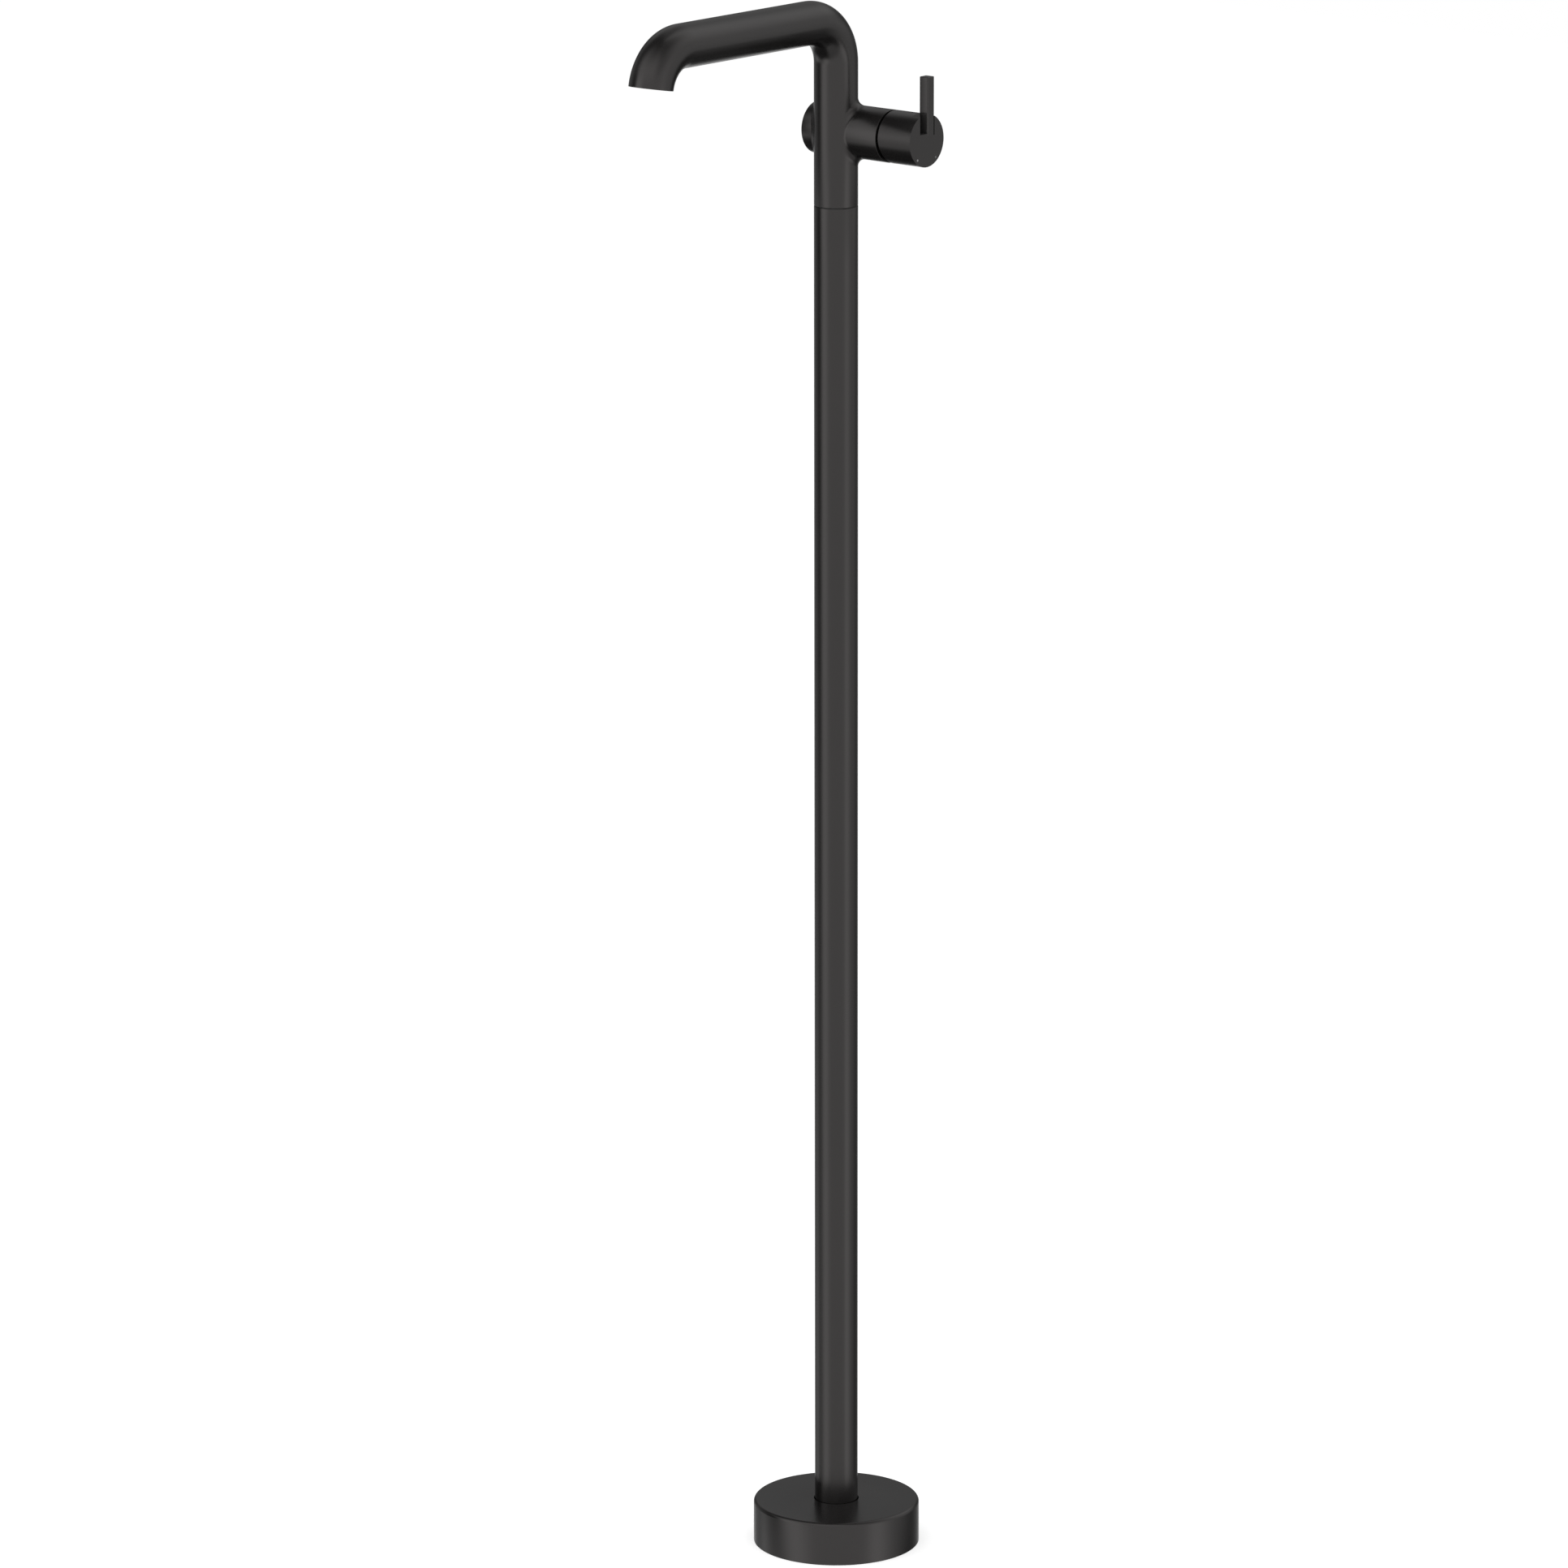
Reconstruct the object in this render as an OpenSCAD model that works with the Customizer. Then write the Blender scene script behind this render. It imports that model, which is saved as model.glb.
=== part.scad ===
/* [Base] */
// Outside diameter of the base cover
cover_d = 116; // [104:1:150]
// Height of the base cover above the floor
cover_h = 30.6; // [28:0.1:40]
// Wall of the base cover
cover_wall = 2.5; // [1.5:0.1:3.5]
// Rounding of the cover's top edge
cover_round = 2.5; // [1:0.1:3.5]
// Gap between the column and the hole in the cover
cover_gap = 0.6; // [0.3:0.1:1.2]
// Gap between the floor plate and the wall of the base cover
plate_gap = 5.5; // [4.5:0.5:9]
// Thickness of the floor plate
plate_t = 8; // [6:0.5:10]
// Diameter of the circle of floor fixing holes
anchor_pcd = 78; // [76:1:82]
// Diameter of each floor fixing hole
anchor_d = 8.5; // [6:0.5:10]
// Outside diameter of the collar round the column foot
collar_d = 42; // [38:1:44]
// Height of the collar above its flange
collar_h = 10.5; // [9:0.5:11]
// Diameter of the collar flange
flange_d = 66; // [64:1:68]
// Thickness of the collar flange
flange_t = 5; // [4:0.5:5.5]

/* [Column] */
// Outside diameter of the column
col_d = 30; // [28:0.5:32]
// Wall of the column tube
col_wall = 2; // [1.5:0.1:2.3]
// Height of the seam between column and head
seam_z = 949; // [700:1:1100]
// Width of the shadow line at the seam
seam_gap = 0.6; // [0.3:0.1:1.5]
// Outside diameter of each supply hose
hose_d = 8; // [6.5:0.1:8.2]
// Bore of each supply hose
hose_bore = 5; // [4:0.1:5.5]
// Distance of each supply hose from the column axis
hose_off = 6; // [5.5:0.1:6.2]

/* [Head] */
// Height of the barrel axis above the seam
barrel_rise = 50.5; // [48:0.5:60]
// Distance of the barrel axis behind the column axis
barrel_y = 10; // [8:0.5:11]
// Diameter of the cross barrel
barrel_d = 36; // [35:0.5:38]
// Reach of the barrel past the column axis on the blind side
barrel_back = 24; // [22:0.5:30]
// Reach of the barrel past the column axis on the handle side
barrel_front = 41; // [41:0.5:46]
// Radius of the fillet where barrel and stem meet
fillet_r = 5.5; // [3:0.5:6]
// Height of the spout axis above the barrel axis
spout_rise = 77.1; // [68:0.1:120]
// Wall of the spout
spout_wall = 3; // [2.5:0.1:3.5]
// Radius of both bends, at the centre line
bend_r = 30; // [27:0.5:36]
// Distance from the column axis to the middle of the outlet
spout_reach = 189.4; // [150:0.2:260]
// Angle that the outlet bend turns through
outlet_turn = 80; // [76:1:88]
// Outside diameter of the water pipe in the spout
pipe_d = 10; // [8:0.5:11]
// Bore of the water pipe in the spout
pipe_bore = 7; // [5:0.5:7.5]
// Bend radius of the water pipe at the outlet
pipe_bend = 15; // [14:0.5:16]

/* [Cartridge] */
// Diameter of the mixing cartridge
cart_d = 28; // [27:0.2:28.4]
// Diameter of the retaining nut
nut_d = 30.3; // [29.6:0.1:30.8]
// Length of the retaining nut
nut_h = 6.5; // [5:0.5:6.5]
// Height of the inlet ports above the barrel axis
port_up = 4; // [3.6:0.1:4.4]
// Distance of the inlet ports to each side of the barrel axis
port_side = 6.2; // [6:0.1:6.4]
// Distance of the outlet port below the barrel axis
port_down = 6.5; // [6:0.1:6.6]
// Radius of each inlet port
inlet_r = 2.2; // [1.8:0.1:2.3]
// Thickness of each ceramic disc
disc_t = 3.2; // [3:0.1:3.5]
// Side of the square stem
stem_w = 6; // [5:0.5:6]
// Radius of the pivot pin
pin_r = 1.5; // [1.2:0.1:1.7]

/* [Handle] */
// Gap between the barrel and the handle
handle_gap = 1.6; // [1:0.1:3]
// Length of the handle
handle_l = 28.3; // [28:0.1:36]
// Extra gap at the lowest point of the bevelled rim
rim_bevel = 2.2; // [1.8:0.1:3]
// Wall of the handle at its rim
handle_wall = 2.4; // [2:0.1:2.6]
// Small chamfer round the end face of the handle
face_edge = 0.5; // [0.2:0.1:0.8]
// Side of the square lever bar
lever_w = 7.3; // [6:0.1:7.6]
// Height of the lever's top above the barrel axis
lever_top = 42.7; // [30:0.1:70]
// Rounding of the lever's upright edges
lever_round = 1; // [0.4:0.1:1.5]
// Distance of the lever's left side from the barrel axis
lever_off = 0.9; // [0:0.1:1.5]
// Free width of the slot beside the lever
slot_free = 7.1; // [4:0.1:7.5]
// Depth of the free part of the slot beside the lever, which slopes up to the end face
slot_deep = 6.8; // [4:0.1:7.2]
// Height of the slot floor above the barrel axis
slot_floor = 3.1; // [1:0.1:5]
// Radius of each marker dot
mark_r = 0.8; // [0.5:0.1:1.2]
// Distance of the marker dots from the middle of the face
mark_ring = 15.5; // [13:0.1:16]
// Angle of each marker dot from straight down
mark_turn = 38; // [20:1:60]

/* [Hidden] */
$fn = 96;
// Radial clearance of parts that are fitted by hand
fit = 0.05;
// Radial clearance of parts that turn or slide
run = 0.1;
col_r = col_d / 2;
col_in = col_r - col_wall;
hose_r = hose_d / 2;
// Foot of the column
plate_d = cover_d - 2 * cover_wall - 2 * plate_gap;
plate_bore = col_in - 2;
collar_z = plate_t + flange_t;
socket_screw_pcd = (collar_d + flange_d) / 2;
socket_screw_r = 2.4;
socket_head_r = 4.2;
socket_head_h = 5;
foot_screw_r = 3;
foot_screw_z = collar_z + collar_h / 2;
ring_r = 1.3;
boss_wall = 2.8;
inlet_foot = 1;
inlet_top = 10;
inlet_out = 4.9;
inlet_spigot = 14;
// Joint of column and head
head_z = seam_z + seam_gap;
spigot_out = col_in - fit;
spigot_in = max(hose_off + hose_r + 0.6, spigot_out - 1.7);
spigot_down = 30;
spigot_up = 20;
lock_r = 2;
lock_z = head_z + spigot_up / 2;
// Head
barrel_z = seam_z + barrel_rise;
barrel_r = barrel_d / 2;
spout_z = barrel_z + spout_rise;
spout_in = col_r - spout_wall;
hose_seat = barrel_z - 23.5;
hose_stop = hose_seat + 8;
pipe_stop = barrel_z + 20.5;
stem_top = barrel_z + 30.5;
bend_z = spout_z - bend_r;
seat_x = 8;
port_z = barrel_z + port_up;
mix_z = barrel_z - port_down;
mix_r = 3;
cold_x = -12;
mix_x = -2;
cart_r = cart_d / 2;
nut_r = nut_d / 2;
// Outlet
bend2_y = -spout_reach + bend_r * sin(outlet_turn);
lip_z = bend_z + bend_r * cos(outlet_turn);
mouth_r = spout_in;
mouth_deep = 10.4;
flange_at = 8.4;
seal_at = 7.2;
face_at = 0.8;
// Where the outlet axis meets the spout axis, counted from the mouth
cross_t = (spout_z - lip_z) / sin(outlet_turn);
pipe_tan = pipe_bend * tan(outlet_turn / 2);
pipe_y = -spout_reach + cross_t * cos(outlet_turn) + pipe_tan;
pipe_end = cross_t - pipe_tan;
pipe_cup = 1.2;
// Cartridge, stations along the barrel
cart_end = barrel_front - 0.5 - nut_h;
base_t = 4;
fixed_x = seat_x + base_t;
moving_x = fixed_x + disc_t + fit;
carrier_x = moving_x + disc_t;
carrier_t = 3.6;
rotor_x = carrier_x + carrier_t + run;
rotor_end = cart_end - 4 - run;
housing_in = cart_r - 2.4;
rotor_r = housing_in - run;
neck_r = 9.4;
neck_end = cart_end + 2.4;
pivot_x = 28;
ball_r = 2.45;
ball_x = carrier_x + 0.65 + ball_r;
disc_r = housing_in - 1.3;
disc_rest = -0.9;
// Handle
handle_x = barrel_front + handle_gap;
face_x = handle_x + handle_l;
web_x = face_x - lever_w - 3.1;
hub_x = handle_x + 6.4;
hub_r = 8;
socket_end = web_x - 0.4;
set_x = (hub_x + socket_end) / 2;
set_r = 2;
lever_x = face_x - lever_w / 2;
lever_y = barrel_y + lever_off + lever_w / 2;
screw_r = 1.5;
screw_head_r = 2.7;
screw_head_z = barrel_z - 9;

// Rod between two points
module rod(a, b, r) {
    v = b - a;
    l = norm(v);
    translate(a)
        rotate([0, acos(v[2] / l), atan2(v[1], v[0])])
            cylinder(r = r, h = l);
}

// Ring between two radii
module ring(ro, ri, h) {
    difference() {
        cylinder(r = ro, h = h);
        translate([0, 0, -1]) cylinder(r = ri, h = h + 2);
    }
}

// Moves what follows to the barrel axis, lying along +X
module on_barrel(x = 0) {
    translate([x, barrel_y, barrel_z]) rotate([0, 90, 0]) children();
}

// Moves what follows to the middle of the mouth, +Z leading into the spout
module on_mouth(t = 0) {
    translate([0, -spout_reach, lip_z])
        rotate([outlet_turn - 90, 0, 0])
            translate([0, 0, t]) children();
}

// Copies at even turns about the column
module around(n, start = 0) {
    for (i = [0 : n - 1]) rotate([0, 0, start + i * 360 / n]) children();
}

module floor_plate() {
    color([0.62, 0.63, 0.65])
    difference() {
        cylinder(d = plate_d, h = plate_t);
        translate([0, 0, -1]) cylinder(r = plate_bore, h = plate_t + 2);
        around(3, 30) translate([anchor_pcd / 2, 0, -1]) cylinder(d = anchor_d, h = plate_t + 2);
        around(3, 90) translate([socket_screw_pcd / 2, 0, 2]) cylinder(r = socket_screw_r + fit, h = plate_t);
    }
}

module column_socket() {
    color([0.72, 0.62, 0.36])
    difference() {
        union() {
            translate([0, 0, plate_t]) cylinder(d = flange_d, h = flange_t);
            translate([0, 0, plate_t]) cylinder(d = collar_d, h = flange_t + collar_h);
        }
        translate([0, 0, plate_t - 1]) cylinder(r = col_r + fit, h = flange_t + collar_h + 2);
        around(3, 90) translate([socket_screw_pcd / 2, 0, plate_t - 1])
            cylinder(r = socket_screw_r + 0.35, h = flange_t + 2);
        around(3, 30) translate([0, 0, foot_screw_z]) rotate([0, 90, 0])
            cylinder(r = foot_screw_r + fit, h = collar_d);
    }
}

module socket_screws() {
    color([0.7, 0.71, 0.73])
    around(3, 90) translate([socket_screw_pcd / 2, 0, 0]) difference() {
        union() {
            translate([0, 0, 3]) cylinder(r = socket_screw_r, h = collar_z - 3);
            translate([0, 0, collar_z]) cylinder(r = socket_head_r, h = socket_head_h);
        }
        translate([0, 0, collar_z + socket_head_h - 2.5]) cylinder(r = 2.3, h = 3, $fn = 6);
    }
}

module column_set_screws() {
    color([0.35, 0.35, 0.36])
    around(3, 30) translate([col_r, 0, foot_screw_z]) rotate([0, 90, 0]) difference() {
        cylinder(r = foot_screw_r, h = collar_d / 2 - col_r - 0.5);
        translate([0, 0, collar_d / 2 - col_r - 3]) cylinder(r = 1.7, h = 3, $fn = 6);
    }
}

module base_cover() {
    top_in = cover_h - cover_wall;
    hole = col_r + cover_gap;
    seat = col_r + fit + 2 * ring_r;
    color([0.16, 0.16, 0.165])
    rotate_extrude() difference() {
        union() {
            square([cover_d / 2, cover_h - cover_round]);
            square([cover_d / 2 - cover_round, cover_h]);
            translate([cover_d / 2 - cover_round, cover_h - cover_round]) circle(r = cover_round);
        }
        translate([-1, -1]) square([1 + cover_d / 2 - cover_wall, top_in + 1]);
        translate([-1, -1]) square([1 + hole, cover_h + 2]);
    }
    color([0.16, 0.16, 0.165])
    translate([0, 0, top_in - 2 * ring_r - 0.6])
        ring(seat + boss_wall, seat, 2 * ring_r + 0.6);
}

module cover_ring() {
    color([0.05, 0.05, 0.05])
    translate([0, 0, cover_h - cover_wall - ring_r - fit])
        rotate_extrude() translate([col_r + fit + ring_r, 0]) circle(r = ring_r - 0.01, $fn = 32);
}

module column_tube() {
    color([0.16, 0.16, 0.165])
    difference() {
        translate([0, 0, plate_t]) cylinder(r = col_r, h = seam_z - plate_t);
        translate([0, 0, plate_t - 1]) cylinder(r = col_in, h = seam_z - plate_t + 2);
    }
}

module supply_inlet(side) {
    translate([side * hose_off, 0, 0]) difference() {
        union() {
            translate([0, 0, inlet_foot]) cylinder(r = inlet_out, h = inlet_top - inlet_foot);
            translate([0, 0, inlet_foot]) cylinder(r = hose_bore / 2 - fit, h = inlet_top + inlet_spigot - inlet_foot);
        }
        translate([0, 0, -1]) cylinder(r = hose_bore / 2 - 0.7, h = inlet_top + inlet_spigot + 2);
    }
}

module hot_inlet() { color([0.75, 0.66, 0.4]) supply_inlet(1); }

module cold_inlet() { color([0.75, 0.66, 0.4]) supply_inlet(-1); }

module supply_hose(side) {
    translate([side * hose_off, 0, inlet_top]) ring(hose_r, hose_bore / 2, hose_stop - inlet_top);
}

module hot_hose() { color([0.6, 0.18, 0.15]) supply_hose(1); }

module cold_hose() { color([0.15, 0.3, 0.6]) supply_hose(-1); }

// Sleeve that joins column and head, with a thin flange that shows as the seam
module head_spigot() {
    color([0.08, 0.08, 0.08])
    difference() {
        union() {
            translate([0, 0, seam_z - spigot_down]) cylinder(r = spigot_out, h = spigot_down + seam_gap + spigot_up);
            translate([0, 0, seam_z]) cylinder(r = col_r - 0.7, h = seam_gap);
        }
        translate([0, 0, seam_z - spigot_down - 1])
            cylinder(r = spigot_in, h = spigot_down + seam_gap + spigot_up + 2);
        translate([0, 0, lock_z]) rotate([-90, 0, 0]) cylinder(r = lock_r + fit, h = col_d);
    }
}

module spigot_screw() {
    color([0.3, 0.3, 0.31])
    translate([0, spigot_in + 0.2, lock_z]) rotate([-90, 0, 0]) difference() {
        cylinder(r = lock_r, h = col_r - spigot_in - 0.7);
        translate([0, 0, col_r - spigot_in - 2.2]) cylinder(r = 1.15, h = 3, $fn = 6);
    }
}

// Centre of the ball that rolls in the corner between barrel and stem
function ball_by_barrel(p, s) =
    let (y = barrel_y - (barrel_r + fillet_r) * cos(p))
    [s * sqrt(pow(col_r + fillet_r, 2) - y * y), y, (barrel_r + fillet_r) * sin(p)];

function ball_by_column(a, s) =
    let (y = -(col_r + fillet_r) * cos(a))
    [(col_r + fillet_r) * sin(a), y, s * sqrt(pow(barrel_r + fillet_r, 2) - pow(y - barrel_y, 2))];

// One section of the fillet: the rolled arc, closed by a point inside the metal
function fillet_section(c, n) =
    let (a = [c[0], c[1], 0] * (col_r / (col_r + fillet_r)) + [0, 0, c[2]],
        b = [c[0], barrel_y, 0] + [0, c[1] - barrel_y, c[2]] * (barrel_r / (barrel_r + fillet_r)),
        u = (a - c) / fillet_r,
        v = (b - c) / fillet_r,
        w = acos(u * v),
        m = (u + v) / norm(u + v))
    concat([for (i = [0 : n])
            c + (u * sin(w - w * i / n) + v * sin(w * i / n)) / sin(w)
                * (fillet_r + (i == 0 || i == n ? 0.04 : 0))],
        [c + m * (fillet_r / cos(w / 2) + 1.5)]);

module fillet() {
    split = 60;
    n = 6;
    y0 = barrel_y - (barrel_r + fillet_r) * cos(split);
    a0 = acos(-y0 / (col_r + fillet_r));
    k = 20;
    da = (360 - 2 * a0) / k;
    centres = concat(
        [for (p = [-split : 7.5 : split]) ball_by_barrel(p, 1)],
        [for (i = [1 : k - 1]) ball_by_column(a0 + i * da, 1)],
        [for (p = [split : -7.5 : -split]) ball_by_barrel(p, -1)],
        [for (i = [k - 1 : -1 : 1]) ball_by_column(a0 + i * da, -1)]);
    rings = len(centres);
    m = n + 2;
    pts = [for (c = centres) each fillet_section(c, n)];
    tris = [for (i = [0 : rings - 1], j = [0 : m - 1])
        let (a = i * m + j, b = i * m + (j + 1) % m,
            c = ((i + 1) % rings) * m + (j + 1) % m, d = ((i + 1) % rings) * m + j)
        each [[a, c, b], [a, d, c]]];
    translate([0, 0, barrel_z]) polyhedron(points = pts, faces = tris, convexity = 6);
}

// Hollow bend in the plane of the spout, about a line along X
module pipe_bend(ro, ri, r, turn) {
    rotate([90, 0, 90]) rotate_extrude(angle = turn) translate([r, 0]) difference() {
        circle(r = ro);
        circle(r = ri);
    }
}

module upper_body() {
    color([0.16, 0.16, 0.165])
    difference() {
        union() {
            difference() {
                union() {
                    translate([0, 0, head_z]) cylinder(r = col_r, h = bend_z - head_z);
                    on_barrel(-barrel_back) cylinder(r = barrel_r, h = barrel_back + barrel_front);
                    fillet();
                }
                translate([0, 0, head_z - 1]) cylinder(r = col_in, h = spigot_up + 1);
                translate([0, 0, head_z]) cylinder(r = spigot_in, h = hose_seat - head_z);
                translate([0, 0, stem_top]) cylinder(r = spout_in, h = bend_z);
                translate([0, 0, lock_z]) rotate([-90, 0, 0]) cylinder(r = lock_r + fit, h = col_d);
                // Seats of the two supply hoses
                for (s = [-1, 1]) translate([s * hose_off, 0, hose_seat - 1])
                    cylinder(r = hose_r + fit, h = hose_stop - hose_seat + 1);
                // Waterways to the cartridge
                rod([hose_off, 0, hose_stop - 1], [seat_x + 1, barrel_y - port_side, port_z], inlet_r);
                rod([-hose_off, 0, hose_stop - 1], [cold_x, barrel_y + port_side, port_z], inlet_r);
                rod([cold_x, barrel_y + port_side, port_z], [seat_x + 1, barrel_y + port_side, port_z], inlet_r);
                translate([cold_x, barrel_y + port_side, port_z]) sphere(r = inlet_r + 0.4);
                // Mixed water to the spout pipe
                rod([mix_x, barrel_y, mix_z], [seat_x + 1, barrel_y, mix_z], mix_r);
                rod([mix_x, barrel_y, mix_z], [0, 0, pipe_stop + 1], mix_r);
                translate([mix_x, barrel_y, mix_z]) sphere(r = mix_r + 0.4);
                translate([0, 0, pipe_stop]) cylinder(r = pipe_d / 2 + fit, h = 20);
                // Cartridge bore and nut thread
                on_barrel(seat_x) cylinder(r = cart_r + fit, h = barrel_front);
                on_barrel(cart_end) cylinder(r = nut_r + fit, h = barrel_front);
                // Recess of the back cap
                on_barrel(-barrel_back - 1) cylinder(r = barrel_r - 3, h = 7);
            }
            translate([0, -bend_r, bend_z]) pipe_bend(col_r, spout_in, bend_r, 90);
            translate([0, bend2_y, spout_z]) rotate([-90, 0, 0]) ring(col_r, spout_in, -bend_r - bend2_y);
            translate([0, bend2_y, bend_z]) rotate([90, 0, 0]) pipe_bend(col_r, spout_in, bend_r, outlet_turn);
        }
        on_mouth(-1) cylinder(r = mouth_r + fit, h = mouth_deep + 1);
    }
}

module back_cap() {
    color([0.16, 0.16, 0.165])
    on_barrel(-barrel_back) rotate_extrude() difference() {
        square([barrel_r - 3 - fit, 6]);
        translate([barrel_r - 3 - fit - 2, 2.2]) square([3, 2.2]);
    }
}

module back_cap_seal() {
    color([0.05, 0.05, 0.05])
    on_barrel(-barrel_back + 3.3) rotate_extrude() translate([barrel_r - 3 - fit - 0.95, 0])
        circle(r = 0.95, $fn = 32);
}

module outlet_pipe() {
    color([0.78, 0.5, 0.36])
    union() {
        translate([0, 0, pipe_stop]) ring(pipe_d / 2, pipe_bore / 2, bend_z - pipe_stop);
        translate([0, -bend_r, bend_z]) pipe_bend(pipe_d / 2, pipe_bore / 2, bend_r, 90);
        translate([0, pipe_y, spout_z]) rotate([-90, 0, 0]) ring(pipe_d / 2, pipe_bore / 2, -bend_r - pipe_y);
        translate([0, pipe_y, spout_z - pipe_bend]) rotate([90, 0, 0])
            pipe_bend(pipe_d / 2, pipe_bore / 2, pipe_bend, outlet_turn);
    }
}

module outlet_adapter() {
    color([0.75, 0.66, 0.4])
    on_mouth() difference() {
        union() {
            translate([0, 0, flange_at]) cylinder(r = mouth_r - fit, h = mouth_deep - flange_at);
            translate([0, 0, flange_at]) cylinder(r = pipe_d / 2 + 1.6, h = pipe_end + pipe_cup - flange_at);
        }
        translate([0, 0, flange_at - 1]) cylinder(r = pipe_bore / 2, h = 20);
        translate([0, 0, pipe_end - fit]) cylinder(r = pipe_d / 2 + 2 * fit, h = 10);
    }
}

module aerator_seal() {
    color([0.05, 0.05, 0.05])
    on_mouth(seal_at) ring(mouth_r - 0.4, mouth_r - 4.5, flange_at - seal_at);
}

module aerator_housing() {
    color([0.16, 0.16, 0.165])
    on_mouth(face_at) difference() {
        cylinder(r = mouth_r - fit, h = seal_at - face_at);
        translate([0, 0, -1]) cylinder(r = mouth_r - 2.6, h = 10);
        // Notches for the key
        for (a = [0 : 60 : 300]) rotate([0, 0, a])
            translate([mouth_r - 3, -0.8, -1]) cube([1.5, 1.6, 2.2]);
    }
}

module aerator_insert() {
    jet_r = 0.6;
    color([0.1, 0.1, 0.1])
    on_mouth(face_at + 0.5) difference() {
        cylinder(r = mouth_r - 2.6 - fit, h = seal_at - face_at - 0.5);
        translate([0, 0, 1.4]) cylinder(r = mouth_r - 4, h = 10);
        for (k = [1 : 3], i = [0 : 6 * k - 1]) rotate([0, 0, i * 60 / k])
            translate([2.3 * k, 0, -1]) cylinder(r = jet_r, h = 4, $fn = 16);
        translate([0, 0, -1]) cylinder(r = jet_r, h = 4, $fn = 16);
    }
}

// Port holes of the cartridge, bored along the barrel
module ports(x, h, r1, r2) {
    for (s = [-1, 1]) translate([x, barrel_y + s * port_side, port_z]) rotate([0, 90, 0])
        cylinder(r = r1, h = h);
    translate([x, barrel_y, mix_z]) rotate([0, 90, 0]) cylinder(r = r2, h = h);
}

module cartridge_housing() {
    color([0.85, 0.85, 0.82])
    difference() {
        on_barrel(seat_x) cylinder(r = cart_r, h = cart_end - seat_x);
        on_barrel(fixed_x) cylinder(r = housing_in, h = rotor_end + run - fixed_x);
        on_barrel(fixed_x) cylinder(r = neck_r + run, h = barrel_front);
        ports(seat_x - 1, base_t + 2, inlet_r, mix_r);
        ports(seat_x - 1, 2.4, inlet_r + 1.4, mix_r + 1.4);
    }
}

module port_seals() {
    color([0.05, 0.05, 0.05])
    for (q = [[-port_side, port_up, inlet_r], [port_side, port_up, inlet_r], [0, -port_down, mix_r]])
        translate([seat_x, barrel_y + q[0], barrel_z + q[1]]) rotate([0, 90, 0])
            ring(q[2] + 1.3, q[2] + 0.2, 1.4);
}

module fixed_disc() {
    color([0.93, 0.93, 0.9])
    difference() {
        on_barrel(fixed_x) cylinder(r = housing_in - fit, h = disc_t);
        ports(fixed_x - 1, disc_t + 2, inlet_r, mix_r);
    }
}

module moving_disc() {
    pocket_r = disc_r - 1.5;
    pocket_top = port_up - inlet_r - 0.3;
    color([0.93, 0.93, 0.9])
    translate([0, 0, disc_rest]) difference() {
        on_barrel(moving_x) cylinder(r = disc_r, h = disc_t);
        intersection() {
            on_barrel(moving_x - 1) cylinder(r = pocket_r, h = 2.4);
            translate([moving_x - 2, barrel_y - disc_r, barrel_z - disc_r])
                cube([5, 2 * disc_r, disc_r + pocket_top - disc_rest]);
        }
    }
}

module disc_carrier() {
    color([0.25, 0.27, 0.3])
    difference() {
        translate([0, 0, disc_rest]) on_barrel(carrier_x) cylinder(r = disc_r, h = carrier_t);
        on_barrel(carrier_x + 0.4) cylinder(r = ball_r + 0.2, h = carrier_t);
    }
}

module rotor() {
    slot = stem_w + 2 * run;
    color([0.8, 0.8, 0.78])
    difference() {
        union() {
            on_barrel(rotor_x) cylinder(r = rotor_r, h = rotor_end - rotor_x);
            on_barrel(rotor_x) cylinder(r = neck_r, h = neck_end - rotor_x);
        }
        translate([rotor_x - 1, barrel_y - slot / 2, barrel_z - 6.2])
            cube([neck_end - rotor_x + 2, slot, 12.4]);
        translate([pivot_x, barrel_y, barrel_z]) rotate([90, 0, 0])
            cylinder(r = pin_r + 0.02, h = 2 * rotor_r, center = true);
    }
}

module pivot_pin() {
    color([0.7, 0.71, 0.73])
    translate([pivot_x, barrel_y, barrel_z]) rotate([90, 0, 0])
        cylinder(r = pin_r, h = 2 * rotor_r - 3, center = true);
}

module stem() {
    color([0.75, 0.66, 0.4])
    difference() {
        union() {
            on_barrel(ball_x) sphere(r = ball_r);
            on_barrel(ball_x) cylinder(r = ball_r - 0.7, h = pivot_x - ball_x);
            translate([pivot_x - 3.4, barrel_y - stem_w / 2, barrel_z - stem_w / 2])
                cube([socket_end - 0.4 - pivot_x + 3.4, stem_w, stem_w]);
        }
        translate([pivot_x, barrel_y, barrel_z]) rotate([90, 0, 0])
            cylinder(r = pin_r + fit, h = 2 * stem_w, center = true);
    }
}

module retaining_nut() {
    color([0.75, 0.66, 0.4])
    difference() {
        on_barrel(cart_end) ring(nut_r, 11, nut_h);
        for (a = [45 : 90 : 315]) on_barrel(cart_end + nut_h - 2) rotate([0, 0, a])
            translate([12.6, -1.5, 0]) cube([4, 3, 3]);
    }
}

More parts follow.
